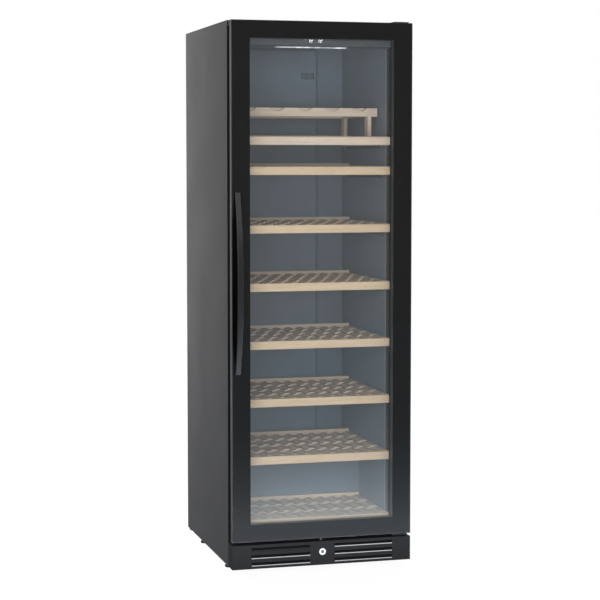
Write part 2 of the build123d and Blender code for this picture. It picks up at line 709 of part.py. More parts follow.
def control_housing():
    half = CAVITY_HALF - CONTROL_SIDE_GAP
    back = CONTROL_FRONT + CONTROL_DEPTH
    outline = [
        (CONTROL_FRONT, CAVITY_CEILING),
        (CONTROL_FRONT, CONTROL_BOTTOM),
        (back - CONTROL_NOSE, CONTROL_BOTTOM),
        (back, CONTROL_BOTTOM + CONTROL_NOSE),
        (back, CAVITY_CEILING),
    ]
    housing = along_x(outline, -half, half)
    housing -= display_block(CONTROL_FRONT, CONTROL_FRONT + DISPLAY_POCKET)
    return housing - led_block(CONTROL_BOTTOM, CONTROL_BOTTOM + LED_POCKET)


def display_block(front, back):
    middle = (CONTROL_BOTTOM + CAVITY_CEILING) / 2
    low = middle - DISPLAY_HEIGHT / 2
    return block(-DISPLAY_WIDTH / 2, DISPLAY_WIDTH / 2, front, back, low, low + DISPLAY_HEIGHT)


def display_window():
    back = CONTROL_FRONT + DISPLAY_POCKET
    return display_block(back - DISPLAY_THICKNESS, back)


def led_block(low, high):
    front = LED_DEPTH - LED_WIDTH / 2
    return block(-LED_LENGTH / 2, LED_LENGTH / 2, front, front + LED_WIDTH, low, high)


def led_strip():
    top = CONTROL_BOTTOM + LED_POCKET
    strip = led_block(top - LED_HEIGHT, top)
    return fillet(strip.edges().filter_by(Axis.X).group_by(Axis.Z)[0], (LED_HEIGHT - LED_POCKET) / 2)


def air_duct_cover():
    half = DUCT_WIDTH / 2
    cover = block(-half, half, DUCT_FRONT, CAVITY_BACK, DUCT_BOTTOM, DUCT_TOP)
    cover = fillet(cover.edges().filter_by(Axis.Z).group_by(Axis.Y)[0], 2 * DUCT_WALL)
    inside = half - DUCT_WALL
    inner_front = DUCT_FRONT + DUCT_WALL
    cover -= block(-inside, inside, inner_front, CAVITY_BACK, DUCT_BOTTOM + DUCT_WALL, DUCT_TOP - DUCT_WALL)
    outlet_front = (inner_front + CAVITY_BACK - OUTLET_WIDTH) / 2
    outlet_back = outlet_front + OUTLET_WIDTH
    for row in range(OUTLET_ROWS):
        low = DUCT_BOTTOM + OUTLET_FIRST + row * OUTLET_PITCH
        cover -= block(-half, half, outlet_front, outlet_back, low, low + OUTLET_HEIGHT)
    slot = Rot(0, 0, 90) * SlotOverall(INTAKE_HEIGHT, INTAKE_SLOT)
    for side in (-1, 1):
        for i in range(INTAKE_COUNT):
            x = side * (half - INTAKE_SIDE_INSET) + (i - (INTAKE_COUNT - 1) / 2) * INTAKE_PITCH
            cover -= along_y(Pos(x, DUCT_TOP - INTAKE_DROP) * slot, DUCT_FRONT, inner_front)
    return cover


def fin_coil(length, width, height):
    """A coil about the origin: fins across the X axis and tubes with U bends along it."""
    row_pitch = height / TUBE_ROWS
    fin_pitch = (length - FIN) / (FIN_COUNT - 1)
    coil = Part()
    for i in range(FIN_COUNT):
        coil += Pos(i * fin_pitch - (length - FIN) / 2, 0, 0) * Box(FIN, width, height)
    for row in range(TUBE_ROWS):
        z = (row - (TUBE_ROWS - 1) / 2) * row_pitch
        coil += Pos(0, 0, z) * Rot(0, 90, 0) * Cylinder(TUBE_RADIUS, length)
    bend = revolve(Plane.YZ * Pos(0, row_pitch / 2) * Circle(TUBE_RADIUS), Axis.Y, 180)
    for row in range(TUBE_ROWS - 1):
        turn = 0 if row % 2 else 180
        end = length / 2 if row % 2 else -length / 2
        z = (row + 1 - TUBE_ROWS / 2) * row_pitch
        coil += Pos(end, 0, z) * Rot(0, 0, turn) * bend
    return coil


def evaporator():
    z = EVAPORATOR_FAN_Z - EVAPORATOR_DROP
    coil = fin_coil(EVAPORATOR_WIDTH, EVAPORATOR_DEPTH, EVAPORATOR_HEIGHT)
    return Pos(0, DOOR_FACE_Y + CAVITY_BACK - EVAPORATOR_DEPTH / 2, z) * coil


def fan(radius):
    """A propeller about the X axis, its hub from the origin to FAN_LENGTH, on a shaft."""
    hub = radius * FAN_HUB_SHARE
    body = Rot(0, 90, 0) * Cylinder(hub, FAN_LENGTH, align=(Align.CENTER, Align.CENTER, Align.MIN))
    body = fillet(body.edges().group_by(Axis.X)[0], FAN_BLADE_THICKNESS)
    root_size = hub * FAN_ROOT_SHARE
    root_section = Rot(0, 0, 90 - FAN_ROOT_PITCH) * Rectangle(root_size, FAN_BLADE_THICKNESS)
    root = Plane.XY.offset(root_size) * root_section
    tip_section = Rot(0, 0, 90 - FAN_TIP_PITCH) * Rectangle(2 * hub, FAN_BLADE_THICKNESS)
    tip = Plane.XY.offset(radius) * tip_section
    blade = Pos(FAN_LENGTH / 2, 0, 0) * loft([root, tip], ruled=True)
    for i in range(FAN_BLADES):
        body += Rot(i * 360 / FAN_BLADES, 0, 0) * blade
    return body - Rot(0, 90, 0) * Cylinder(SHAFT_RADIUS + RUN_CLEARANCE, 4 * FAN_LENGTH)


def motor():
    """A motor about the X axis: shaft from the origin, then the can and a square plate."""
    can = Rot(0, 90, 0) * Cylinder(MOTOR_RADIUS, MOTOR_LENGTH, align=(Align.CENTER, Align.CENTER, Align.MIN))
    shaft = Rot(0, 90, 0) * Cylinder(SHAFT_RADIUS, FAN_LENGTH, align=(Align.CENTER, Align.CENTER, Align.MIN))
    plate = Pos(FAN_LENGTH + MOTOR_LENGTH, 0, 0) * Box(PAN_SHEET, MOTOR_PLATE, MOTOR_PLATE)
    return shaft + Pos(FAN_LENGTH, 0, 0) * can + plate


def evaporator_fan_place():
    """The fan's own X axis turned to point back, its motor plate on the liner."""
    front = CAVITY_BACK - FAN_LENGTH - MOTOR_LENGTH - PAN_SHEET / 2
    return Pos(0, DOOR_FACE_Y + front, EVAPORATOR_FAN_Z) * Rot(0, 0, 90)


def evaporator_fan():
    return evaporator_fan_place() * Pos(-FOOT_GAP, 0, 0) * fan(EVAPORATOR_FAN_RADIUS)


def evaporator_fan_motor():
    return evaporator_fan_place() * motor()


# Machine room


def compressor():
    y = DOOR_FACE_Y + COMPRESSOR_DEPTH
    low = PAN_TOP + GROMMET_HEIGHT + COMPRESSOR_PLATE
    round_off = COMPRESSOR_RADIUS / 3
    can = Pos(COMPRESSOR_X, y, low + COMPRESSOR_HEIGHT / 2) * Cylinder(COMPRESSOR_RADIUS, COMPRESSOR_HEIGHT)
    can = fillet(can.edges().group_by(Axis.Z)[-1], round_off)
    seam = Pos(COMPRESSOR_X, y, low + COMPRESSOR_HEIGHT / 2) * Cylinder(
        COMPRESSOR_RADIUS + COMPRESSOR_SEAM, COMPRESSOR_SEAM
    )
    plate = Pos(COMPRESSOR_X, y, low - COMPRESSOR_PLATE / 2) * Box(
        COMPRESSOR_PLATE_WIDTH, COMPRESSOR_PLATE_DEPTH, COMPRESSOR_PLATE
    )
    plate = fillet(plate.edges().filter_by(Axis.Z), GROMMET_RADIUS)
    relay_front = COMPRESSOR_DEPTH - COMPRESSOR_RADIUS - RELAY_DEPTH / 2
    relay = block(
        COMPRESSOR_X - RELAY_WIDTH / 2,
        COMPRESSOR_X + RELAY_WIDTH / 2,
        relay_front,
        COMPRESSOR_DEPTH,
        low + COMPRESSOR_SEAM,
        low + COMPRESSOR_SEAM + RELAY_HEIGHT,
    )
    return plate + can + seam + relay


def compressor_grommets():
    across = COMPRESSOR_PLATE_WIDTH / 2 - GROMMET_INSET
    along = COMPRESSOR_PLATE_DEPTH / 2 - GROMMET_INSET
    corners = [(sx * across, sy * along) for sx in (-1, 1) for sy in (-1, 1)]
    return [
        rod_z(GROMMET_RADIUS, COMPRESSOR_X + x, COMPRESSOR_DEPTH + depth, PAN_TOP, PAN_TOP + GROMMET_HEIGHT)
        for x, depth in corners
    ]


def condenser():
    z = PAN_TOP + TRAY_HEIGHT + CONDENSER_HEIGHT / 2
    coil = fin_coil(CONDENSER_LENGTH, CONDENSER_WIDTH, CONDENSER_HEIGHT)
    return Pos(CONDENSER_X, DOOR_FACE_Y + COMPRESSOR_DEPTH, z) * Rot(0, 0, 90) * coil


def drip_tray():
    left = CONDENSER_X - CONDENSER_WIDTH / 2
    right = CONDENSER_X + CONDENSER_WIDTH / 2
    front = COMPRESSOR_DEPTH - CONDENSER_LENGTH / 2
    back = COMPRESSOR_DEPTH + CONDENSER_LENGTH / 2
    top = PAN_TOP + TRAY_HEIGHT
    tray = block(left, right, front, back, PAN_TOP, top)
    wall = TRAY_WALL
    return tray - block(left + wall, right - wall, front + wall, back - wall, PAN_TOP + wall, top)


def shroud_x():
    return CONDENSER_X + CONDENSER_WIDTH / 2 + SHROUD_GAP


def condenser_fan_z():
    return PAN_TOP + SHROUD_SIZE / 2


def condenser_fan_place():
    return Pos(shroud_x() + SHROUD_PLATE, DOOR_FACE_Y + COMPRESSOR_DEPTH, condenser_fan_z())


def condenser_fan():
    return condenser_fan_place() * Pos(-FOOT_GAP, 0, 0) * fan(CONDENSER_FAN_RADIUS)


def condenser_fan_shroud():
    """The orifice plate with its ring, and the fan motor on a leg behind the fan."""
    x = shroud_x()
    z = condenser_fan_z()
    half = SHROUD_SIZE / 2
    hole = CONDENSER_FAN_RADIUS + SHROUD_TIP_GAP
    ring_end = x + SHROUD_PLATE + FAN_LENGTH
    front = COMPRESSOR_DEPTH - half
    plate = block(x, x + SHROUD_PLATE, front, front + SHROUD_SIZE, PAN_TOP, PAN_TOP + SHROUD_SIZE)
    plate += rod_x(hole + SHROUD_RING, x, ring_end, COMPRESSOR_DEPTH, z)
    plate -= rod_x(hole, x, ring_end, COMPRESSOR_DEPTH, z)
    drive = condenser_fan_place() * motor()
    leg_x = x + SHROUD_PLATE + FAN_LENGTH + MOTOR_LENGTH
    half_leg = MOTOR_PLATE / 2
    leg = block(
        leg_x - PAN_SHEET / 2,
        leg_x + PAN_SHEET / 2,
        COMPRESSOR_DEPTH - half_leg,
        COMPRESSOR_DEPTH + half_leg,
        PAN_TOP,
        z,
    )
    return [plate, drive + leg]


def discharge_pipe():
    """From the crown of the compressor up, across and down onto the end of the condenser."""
    y = DOOR_FACE_Y + COMPRESSOR_DEPTH
    crown = PAN_TOP + GROMMET_HEIGHT + COMPRESSOR_PLATE + COMPRESSOR_HEIGHT
    high = crown + PIPE_RISE
    coil_top = PAN_TOP + TRAY_HEIGHT + CONDENSER_HEIGHT
    path = FilletPolyline(
        (COMPRESSOR_X, y, crown), (COMPRESSOR_X, y, high), (CONDENSER_X, y, high), (CONDENSER_X, y, coil_top),
        radius=PIPE_BEND,
    )
    return sweep(Plane((COMPRESSOR_X, y, crown)) * Circle(PIPE_RADIUS), path)


# Plinth, lock and feet


def bolt_lift():
    return -2 * CRANK_RADIUS * math.sin(math.radians(CRANK_START))


def lock_channel(gap):
    """The space that the bolt's yoke slides in, from under the case to the plinth top."""
    half = BOLT_YOKE_HALF + gap
    return block(-half, half, BOLT_DEPTH - gap, BOLT_DEPTH + BOLT_THICKNESS + gap, 0, PLINTH_TOP)


def plinth_grille():
    wall = PLINTH_WALL
    half = HALF_WIDTH
    plinth = block(-half, half, 0, wall, FOOT_HEIGHT, PLINTH_TOP)
    plinth += block(-half, half, 0, PLINTH_LEDGE, PLINTH_TOP - wall, PLINTH_TOP)
    plinth += block(-half, half, 0, PLINTH_FOOT, FOOT_HEIGHT, FOOT_HEIGHT + wall)
    for side in (-1, 1):
        plinth += block(*inward(side, half, wall), 0, CASING_FRONT, FOOT_HEIGHT, PLINTH_TOP)
    slot_middle = LOUVRE_INNER + LOUVRE_LENGTH / 2
    slot = SlotOverall(LOUVRE_LENGTH, LOUVRE_HEIGHT)
    for row in range(LOUVRE_COUNT):
        lip = FOOT_HEIGHT + LOUVRE_FIRST + row * LOUVRE_PITCH
        for side in (-1, 1):
            middle = Pos(side * slot_middle, lip + LOUVRE_HEIGHT / 2)
            plinth -= along_y(middle * slot, 0, wall)
            left = side * slot_middle - LOUVRE_LENGTH / 2
            plinth += along_x(
                [
                    (0, lip - LOUVRE_BLADE),
                    (0, lip),
                    (wall + LOUVRE_REACH, lip + LOUVRE_RISE),
                    (wall + LOUVRE_REACH, lip + LOUVRE_RISE - LOUVRE_BLADE),
                ],
                left,
                left + LOUVRE_LENGTH,
            )
    plinth -= rod_y(LOCK_BARREL + SNUG_GAP, 0, 0, wall, LOCK_Z)
    bolt_half = BOLT_HALF + LOCK_GAP
    bolt_front = BOLT_DEPTH - LOCK_GAP
    bolt_back = BOLT_DEPTH + BOLT_THICKNESS + LOCK_GAP
    return plinth - block(-bolt_half, bolt_half, bolt_front, bolt_back, PLINTH_TOP - wall, PLINTH_TOP)


def lock_housing():
    """Ring, barrel through the plinth, and a case with the bolt's channel across it."""
    case_low = LOCK_Z - LOCK_CASE_TALL / 2
    case_high = LOCK_Z + LOCK_CASE_TALL / 2
    case = block(-LOCK_CASE_HALF, LOCK_CASE_HALF, PLINTH_WALL, LOCK_CASE_BACK, case_low, case_high)
    case += rod_y(LOCK_BARREL, 0, 0, PLINTH_WALL, LOCK_Z)
    ring = rod_y(LOCK_RING_RADIUS, 0, -LOCK_RING, 0, LOCK_Z)
    case += fillet(ring.edges().group_by(Axis.Y)[0], LOCK_RING / 2)
    case -= rod_y(LOCK_RADIUS + RUN_CLEARANCE, 0, -LOCK_RING, LOCK_DISC_DEPTH, LOCK_Z)
    case -= rod_y(LOCK_DISC_RADIUS + LOCK_GAP, 0, LOCK_DISC_DEPTH - LOCK_GAP, BOLT_DEPTH, LOCK_Z)
    return case - lock_channel(LOCK_GAP)


def crank_place():
    angle = math.radians(CRANK_START)
    return CRANK_RADIUS * math.cos(angle), LOCK_Z + CRANK_RADIUS * math.sin(angle)


def lock_cylinder():
    disc_back = LOCK_DISC_DEPTH + LOCK_DISC
    x, z = crank_place()
    turning = rod_y(LOCK_RADIUS, 0, -LOCK_RING / 2, LOCK_DISC_DEPTH, LOCK_Z)
    turning += rod_y(LOCK_DISC_RADIUS, 0, LOCK_DISC_DEPTH, disc_back, LOCK_Z)
    turning += rod_y(CRANK_PIN_RADIUS, x, disc_back, BOLT_DEPTH + BOLT_THICKNESS, z)
    half = KEY_SLOT / 2
    tall = KEY_SLOT_LENGTH / 2
    return turning - block(-half, half, -LOCK_RING, KEY_SLOT_DEPTH, LOCK_Z - tall, LOCK_Z + tall)


def lock_bolt():
    """A yoke with a level slot for the crank pin, and the bolt that stands up from it."""
    back = BOLT_DEPTH + BOLT_THICKNESS
    x, z = crank_place()
    low = z - BOLT_YOKE_HEIGHT / 2
    yoke = block(-BOLT_YOKE_HALF, BOLT_YOKE_HALF, BOLT_DEPTH, back, low, low + BOLT_YOKE_HEIGHT)
    tip = PLINTH_TOP + BOLT_SHOW
    stem = block(-BOLT_HALF, BOLT_HALF, BOLT_DEPTH, back, low, tip)
    slot_half = CRANK_PIN_RADIUS + CRANK_SLOT_GAP
    slot = block(x - slot_half, CRANK_RADIUS + slot_half, BOLT_DEPTH, back, z - slot_half, z + slot_half)
    return yoke + stem - slot


def foot_places():
    x = HALF_WIDTH - FOOT_SIDE_INSET
    return [(side * x, depth) for depth in (FOOT_FRONT_DEPTH, FOOT_REAR_DEPTH) for side in (-1, 1)]


def foot(place):
    x, depth = place
    shoulder = FOOT_HEIGHT - FOOT_GAP
    pad = rod_z(FOOT_RADIUS, x, depth, 0, FOOT_PAD)
    pad = chamfer(pad.edges().group_by(Axis.Z)[-1], FOOT_PAD / 4)
    neck = rod_z(FOOT_NECK_RADIUS, x, depth, FOOT_PAD, shoulder)
    return pad + neck + rod_z(FOOT_STUD_RADIUS, x, depth, shoulder, shoulder + FOOT_STUD)


def all_nodes():
    nodes = {
        "side_panel_left": side_panel(-1),
        "side_panel_right": side_panel(1),
        "top_panel": top_panel(),
        "back_panel": back_panel(),
        "base_pan": base_pan(),
        "deck_panel": deck_panel(),
        "insulation_foam": insulation_foam(),
        "inner_liner": inner_liner(),
        "shelf_runners": shelf_runners(),
        "machine_cover": machine_cover(),
        "cord_gland": cord_gland(),
        "front_glass": front_glass(),
        "printed_border": printed_border(),
        "spacer_bar": spacer_bar(),
        "inner_glass": inner_glass(),
        "door_frame": door_frame(),
        "door_gasket": door_gasket(),
        "handle_bar": handle_bar(),
        "hinge_bushes": hinge_bushes(),
        "hinge_plate_upper": hinge_plate_upper(),
        "hinge_plate_lower": hinge_plate_lower(),
        "display_rack": display_rack(),
        "control_housing": control_housing(),
        "display_window": display_window(),
        "led_strip": led_strip(),
        "air_duct_cover": air_duct_cover(),
        "evaporator": evaporator(),
        "evaporator_fan": evaporator_fan(),
        "evaporator_fan_motor": evaporator_fan_motor(),
        "compressor": compressor(),
        "compressor_grommets": compressor_grommets(),
        "condenser": condenser(),
        "drip_tray": drip_tray(),
        "condenser_fan": condenser_fan(),
        "condenser_fan_shroud": condenser_fan_shroud(),
        "discharge_pipe": discharge_pipe(),
        "plinth_grille": plinth_grille(),
        "lock_housing": lock_housing(),
        "lock_cylinder": lock_cylinder(),
        "lock_bolt": lock_bolt(),
    }
    foot_names = ("foot_front_left", "foot_front_right", "foot_rear_left", "foot_rear_right")
    for name, place in zip(foot_names, foot_places()):
        nodes[name] = foot(place)
    nodes["floor_shelf_fascia"] = shelf_fascia(LOW_SHELF_TOP)
    low_centres = slat_centres(LOW_SLAT_COUNT)
    nodes["floor_shelf_rack"] = shelf_rack(LOW_SHELF_TOP, LOW_SHELF_DEPTH, low_centres, SLAT_WIDTH, True)
    centres = slat_centres(SLAT_COUNT)
    for number, top in enumerate(SHELF_TOPS, start=1):
        nodes[f"shelf_{number}_fascia"] = shelf_fascia(top)
        nodes[f"shelf_{number}_rack"] = shelf_rack(top, SHELF_DEPTH, centres, SLAT_WIDTH, True)
    nodes["display_shelf_fascia"] = shelf_fascia(DISPLAY_TOP)
    display_slats = shelf_rack(DISPLAY_TOP, SHELF_DEPTH, rack_centres(), NARROW_SLAT_WIDTH, False)
    nodes["display_shelf_rack"] = display_slats
    return nodes


def write_parts():
    os.makedirs("parts", exist_ok=True)
    for name, shape in all_nodes().items():
        pieces = shape if isinstance(shape, list) else shape.solids()
        solids = [solid for piece in pieces for solid in piece.solids()]
        node = solids[0] if len(solids) == 1 else Compound(children=solids)
        node.label = name
        export_step(node, f"parts/{name}.step")


write_parts()
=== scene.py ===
import json
import math

import bmesh
import bpy
from mathutils import Matrix, Vector


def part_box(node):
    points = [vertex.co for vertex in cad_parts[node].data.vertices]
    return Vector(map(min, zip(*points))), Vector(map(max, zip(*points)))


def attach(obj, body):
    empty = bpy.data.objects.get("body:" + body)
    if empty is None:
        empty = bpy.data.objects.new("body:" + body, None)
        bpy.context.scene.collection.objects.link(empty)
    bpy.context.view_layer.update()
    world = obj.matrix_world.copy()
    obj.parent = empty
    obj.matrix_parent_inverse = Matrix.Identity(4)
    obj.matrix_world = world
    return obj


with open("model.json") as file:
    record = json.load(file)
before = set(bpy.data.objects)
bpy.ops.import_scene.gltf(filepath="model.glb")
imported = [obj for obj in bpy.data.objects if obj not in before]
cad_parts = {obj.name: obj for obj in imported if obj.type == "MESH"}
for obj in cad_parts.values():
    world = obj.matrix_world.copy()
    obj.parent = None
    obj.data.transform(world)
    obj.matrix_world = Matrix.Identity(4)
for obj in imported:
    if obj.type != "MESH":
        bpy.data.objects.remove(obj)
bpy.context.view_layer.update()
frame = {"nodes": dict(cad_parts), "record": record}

NODES = frame["nodes"]

# Camera, in metres and radians. The picture is 600 pixels across on a 36 mm sensor.
CAMERA_PLACE = (-1.5429, -5.6358, 1.3201)
CAMERA_YAW = 0.2694
CAMERA_PITCH = -0.0716
CAMERA_SHIFT = -0.025
PICTURE_PIXELS = 600.0
FOCAL_PIXELS = 1743.0
SENSOR = 36.0

# Lamps, in metres and watts, and the strength of the world
LAMPS = {
    "key": dict(place=(-2.3, -4.2, 1.2), target=(0.0, 0.0, 1.0), width=2.6, height=2.2, power=112.0),
    "fill": dict(place=(-0.5, -4.6, 1.25), target=(0.0, 0.0, 1.2), width=3.0, height=2.3, power=102.0),
    "rear": dict(place=(-0.9, 1.0, 1.2), target=(-0.3, 0.2, 1.0), width=0.5, height=1.8, power=36.0),
    "back": dict(place=(2.3, 2.6, 1.7), target=(0.2, 0.2, 0.9), width=1.6, height=1.8, power=75.0),
}
AMBIENT = 0.26

# Wall round the stage, seen by reflections only. It turns from the front to the rear level across the object.
WALL_FRONT = 0.38
WALL_REAR = 0.16
WALL_TURN = 2.0
WALL_RADIUS = 9.0
WALL_HEIGHT = 3.2
WALL_STEPS = 48

# Floor as the camera sees it. Its glow is nearly white at the object and white further out.
FLOOR_HALF = 9.5
FLOOR_COLOUR = 0.8
FLOOR_SHADED = 0.10
FLOOR_GLOW = 0.95
FLOOR_WHITE_FROM = 1.2
FLOOR_WHITE_TO = 2.4

# Floor as reflections see it. In front of the object the level falls with each metre, and behind it is low.
FLOOR_MIRROR_NEAR = 4.1
FLOOR_MIRROR_FALL = 0.31
FLOOR_MIRROR_FAR = 0.40
FLOOR_MIRROR_MOST = 1.6
FLOOR_MIRROR_REAR = 0.14
FLOOR_MIRROR_TURN_FROM = -0.30
FLOOR_MIRROR_TURN_TO = -0.60
FLOOR_MIRROR_TINT = (0.92, 1.02, 1.11)

# Meshes of the trim
SHARP_ANGLE = math.radians(35.0)
ROUND_SEGMENTS = 2

# Strips and caps of the door, in metres. Depths count from the face of the front glass.
EDGE_TRIM_PROUD = 0.0004
EDGE_TRIM_SUNK = 0.0005
EDGE_TRIM_SIDE_BACK = 0.020
EDGE_TRIM_LIP = 0.0015
EDGE_TRIM_RAIL_FRONT = 0.005
EDGE_TRIM_RAIL_BACK = 0.014
EDGE_TRIM_STOP = 0.040
CAP_FRONT = 0.027
CAP_WIDTH = 0.0115
CAP_HEIGHT = 0.018
CAP_ROUND = 0.0012

# Painted shadow in bands down the front of both walls of the cavity, with a pale painted highlight at the
# rear edge. Depths count from the face of the front glass.
BAND_THICKNESS = 0.0006
BAND_FRONT = 0.066
BAND_BACK = 0.137
BAND_HIGHLIGHT = 0.007

# Beads under the slots of the plinth, pale metal as painted highlight where the lips catch the light
LIP_FIRST = 0.012
LIP_PITCH = 0.024
LIP_ROWS = 3
LIP_INNER = 0.041
LIP_OUTER = 0.235
LIP_DROP = 0.0024
LIP_HALF_HEIGHT = 0.0017
LIP_PROUD = 0.0014
LIP_STEPS = 8

# Figures of the display. Segments run between corners of a box of one width by one height.
DIGIT_PROUD = 0.0002
DIGIT_HEIGHT = 0.0104
DIGIT_WIDTH = 0.0056
DIGIT_STROKE = 0.0010
DIGIT_SLANT = 0.25
DIGIT_PLACES = ((-0.0290, "1"), (-0.0190, "2"), (0.0020, "1"), (0.0120, "2"))
DIGIT_DOT = -0.0405
SEGMENTS = {
    "top": ((-0.5, 0.5), (0.5, 0.5)),
    "middle": ((-0.5, 0.0), (0.5, 0.0)),
    "bottom": ((-0.5, -0.5), (0.5, -0.5)),
    "upper_right": ((0.5, 0.5), (0.5, 0.0)),
    "lower_right": ((0.5, 0.0), (0.5, -0.5)),
    "lower_left": ((-0.5, 0.0), (-0.5, -0.5)),
}
DIGITS = {
    "1": ("upper_right", "lower_right"),
    "2": ("top", "upper_right", "middle", "lower_left", "bottom"),
}

# Glides under the rear corners
GLIDE_WIDTH = 0.030
GLIDE_LENGTH = 0.024
GLIDE_HEIGHT = 0.009
GLIDE_INSET = 0.004

# Pan-head screws. The profile gives shares of the radius and of the height, from the flange up.
SCREW_RADIUS = 0.0042
SCREW_HEIGHT = 0.0020
SCREW_STEPS = 16
SCREW_PROFILE = ((1.0, 0.0), (1.0, 0.35), (0.88, 0.72), (0.58, 0.96))
SCREW_RECESS_RADIUS = 0.48
SCREW_RECESS_EDGE = 0.94
SCREW_RECESS_ARM = 0.45
SCREW_RECESS_FLOOR = 0.4
SCREW_RECESS_ARMS = 4
HINGE_SCREW_SHARES = (0.25, 0.75)
HINGE_SCREW_INSET = 0.022
SIDE_SCREW_ROWS = 6
SIDE_SCREW_END = 0.05
SIDE_SCREW_INSET = 0.008
BACK_SCREW_PLACES = (-0.16, 0.0, 0.16)
BACK_SCREW_INSET = 0.016
COVER_SCREW_PLACES = (-0.27, 0.0, 0.27)
COVER_SCREW_INSET = 0.014

# Moulded and painted finishes. Grain is in waves per metre, and bump is the strength of the grain.
PLAIN_SPECULAR = 0.5
CLOUD_SCALE = 6.0
CLOUD_DETAIL = 3.0
CLOUD_SHADES = ((0.3, 0.92), (0.7, 1.08))
CLOUD_GLOSS = 0.04
FINE_DETAIL = 1.0
GRAIN_DEPTH = 0.0003
MOULDED = {
    "foam": dict(colour=(0.72, 0.66, 0.48), rough=0.85, grain=500.0, bump=0.6),
    "liner_plastic": dict(colour=(0.136, 0.169, 0.204), rough=0.55, grain=1200.0, bump=0.15),
    "runner_plastic": dict(colour=(0.045, 0.055, 0.066), rough=0.55, grain=900.0, bump=0.15),
    "housing_plastic": dict(colour=(0.042, 0.048, 0.053), rough=0.5, grain=900.0, bump=0.15),
    # pale strip for the painted highlight at the rear edge of the painted shadow on the cavity walls
    "band_highlight": dict(colour=(0.30, 0.33, 0.35), rough=0.5, grain=900.0, bump=0.15),
    "black_plastic": dict(colour=(0.022, 0.022, 0.024), rough=0.5, grain=1000.0, bump=0.2),
    "plinth_plastic": dict(
        colour=(0.0145, 0.0145, 0.016), rough=0.45, grain=1000.0, bump=0.15, specular=0.28
    ),
    "foot_plastic": dict(colour=(0.020, 0.020, 0.021), rough=0.55, grain=900.0, bump=0.25),
    "black_print": dict(colour=(0.0024, 0.0024, 0.0029), rough=0.35, grain=1500.0, bump=0.05),
    "display_black": dict(colour=(0.052, 0.059, 0.064), rough=0.4, grain=300.0, bump=0.02),
    # painted shade: the door frame is matt black without gloss so that its recess reads as shade
    "frame_aluminium": dict(colour=(0.005, 0.005, 0.0055), rough=0.8, grain=900.0, bump=0.1, specular=0.0),
    "edge_satin": dict(colour=(0.078, 0.078, 0.079), rough=0.5, grain=900.0, bump=0.1, specular=0.35),
    "handle_metal": dict(colour=(0.004, 0.004, 0.005), rough=0.24, grain=1200.0, bump=0.08, specular=0.66),
    "hinge_steel": dict(colour=(0.014, 0.014, 0.015), rough=0.42, grain=700.0, bump=0.2),
    "compressor_black": dict(colour=(0.016, 0.016, 0.017), rough=0.3, grain=500.0, bump=0.2),
    "gasket_rubber": dict(colour=(0.008, 0.008, 0.0085), rough=0.85, grain=1500.0, bump=0.2, specular=0.05),
    "grommet_rubber": dict(colour=(0.022, 0.022, 0.02244), rough=0.72, grain=1500.0, bump=0.25),
}

# Paint of the casing: charcoal behind the front edge, and black at the front edge as painted shade of the gap
# behind the door
CASING = dict(colour=(0.048, 0.048, 0.049), rough=0.5, grain=800.0, bump=0.12)
CASING_SPECULAR = 0.35
CASING_PAINTED_SHADE = (0.006, 0.006, 0.006)
CASING_SHADE_DEPTH = 0.003
CASING_SHADE_FADE = 0.001

# Metals with drawn lines. The stretch gives lines per metre along each axis.
LINE_DETAIL = 3.0
LINE_SHADES = ((0.25, 0.88), (0.75, 1.08))
LINE_SMOOTHER = 0.06
LINE_ROUGHER = 0.08
LINE_BUMP = 0.06
LINE_DEPTH = 0.0002
DRAWN = {
    "lock_chrome": dict(colour=(0.82, 0.82, 0.83), rough=0.16, stretch=(1200.0, 1200.0, 1200.0)),
    "coil_aluminium": dict(colour=(0.75, 0.76, 0.77), rough=0.34, stretch=(40.0, 700.0, 700.0)),
    "copper_pipe": dict(colour=(0.72, 0.40, 0.26), rough=0.26, stretch=(600.0, 600.0, 600.0)),
    # pale metal for the painted highlight on the lips under the plinth slots
    "lip_highlight_metal": dict(colour=(0.78, 0.78, 0.79), rough=0.26, stretch=(30.0, 900.0, 900.0)),
    "screw_zinc": dict(colour=(0.55, 0.55, 0.56), rough=0.3, stretch=(900.0, 900.0, 900.0)),
}

# Zinc coating
ZINC_PATCHES = 190.0
ZINC_STOPS = ((0.0, (0.46, 0.47, 0.48)), (1.0, (0.58, 0.59, 0.60)))
ZINC_ROUGH = (0.42, 0.52)

# Beech, with a tint for each kind of board. The shelf racks are tinted greyer and bluer as a painted
# reflection of the cool surroundings; the display rack and its fascia are tinted paler and bluer.
BEECH_STOPS = ((0.25, (0.540, 0.388, 0.243)), (0.5, (0.605, 0.441, 0.289)), (0.8, (0.669, 0.510, 0.348)))
BEECH_TINTS = {
    "beech_wood": (1.0, 1.0, 1.0),
    "rack_wood_painted_reflection": (0.96, 1.02, 1.17),
    "pale_wood": (1.00, 1.07, 1.26),
}
BEECH_GRAIN = (5.0, 160.0, 160.0)
BEECH_GRAIN_DETAIL = 4.0
BEECH_GRAIN_WAVE = 0.4
BEECH_FLECK = (60.0, 900.0, 900.0)
BEECH_FLECK_STOPS = ((0.62, (0.0, 0.0, 0.0)), (0.72, (1.0, 1.0, 1.0)))
BEECH_FLECK_TINT = (0.80, 0.72, 0.62)
BEECH_ROUGH = (0.48, 0.60)
BEECH_BUMP = 0.12
BEECH_SPECULAR = 0.3

# Glass. The inner pane is coated and mirrors a little more.
GLASS_TINT = (0.970, 0.982, 0.988)
GLASS_CLOUD_SCALE = 2.0
GLASS_SHADES = ((0.0, 0.985), (1.0, 1.0))
GLASS_INDEX = {
    "clear_glass": 1.45,
    "coated_glass": 1.56,
}

# Lit figures of the display
DIGIT_COLOUR = (0.95, 0.98, 1.0)
DIGIT_STRENGTH = 2.2
DIGIT_BASE = (0.8, 0.8, 0.8)
DIGIT_ROUGH = 0.4
DIGIT_SPOTS = (40.0, 1.0, 40.0)
DIGIT_SHADES = ((0.35, 0.8), (0.6, 1.0))

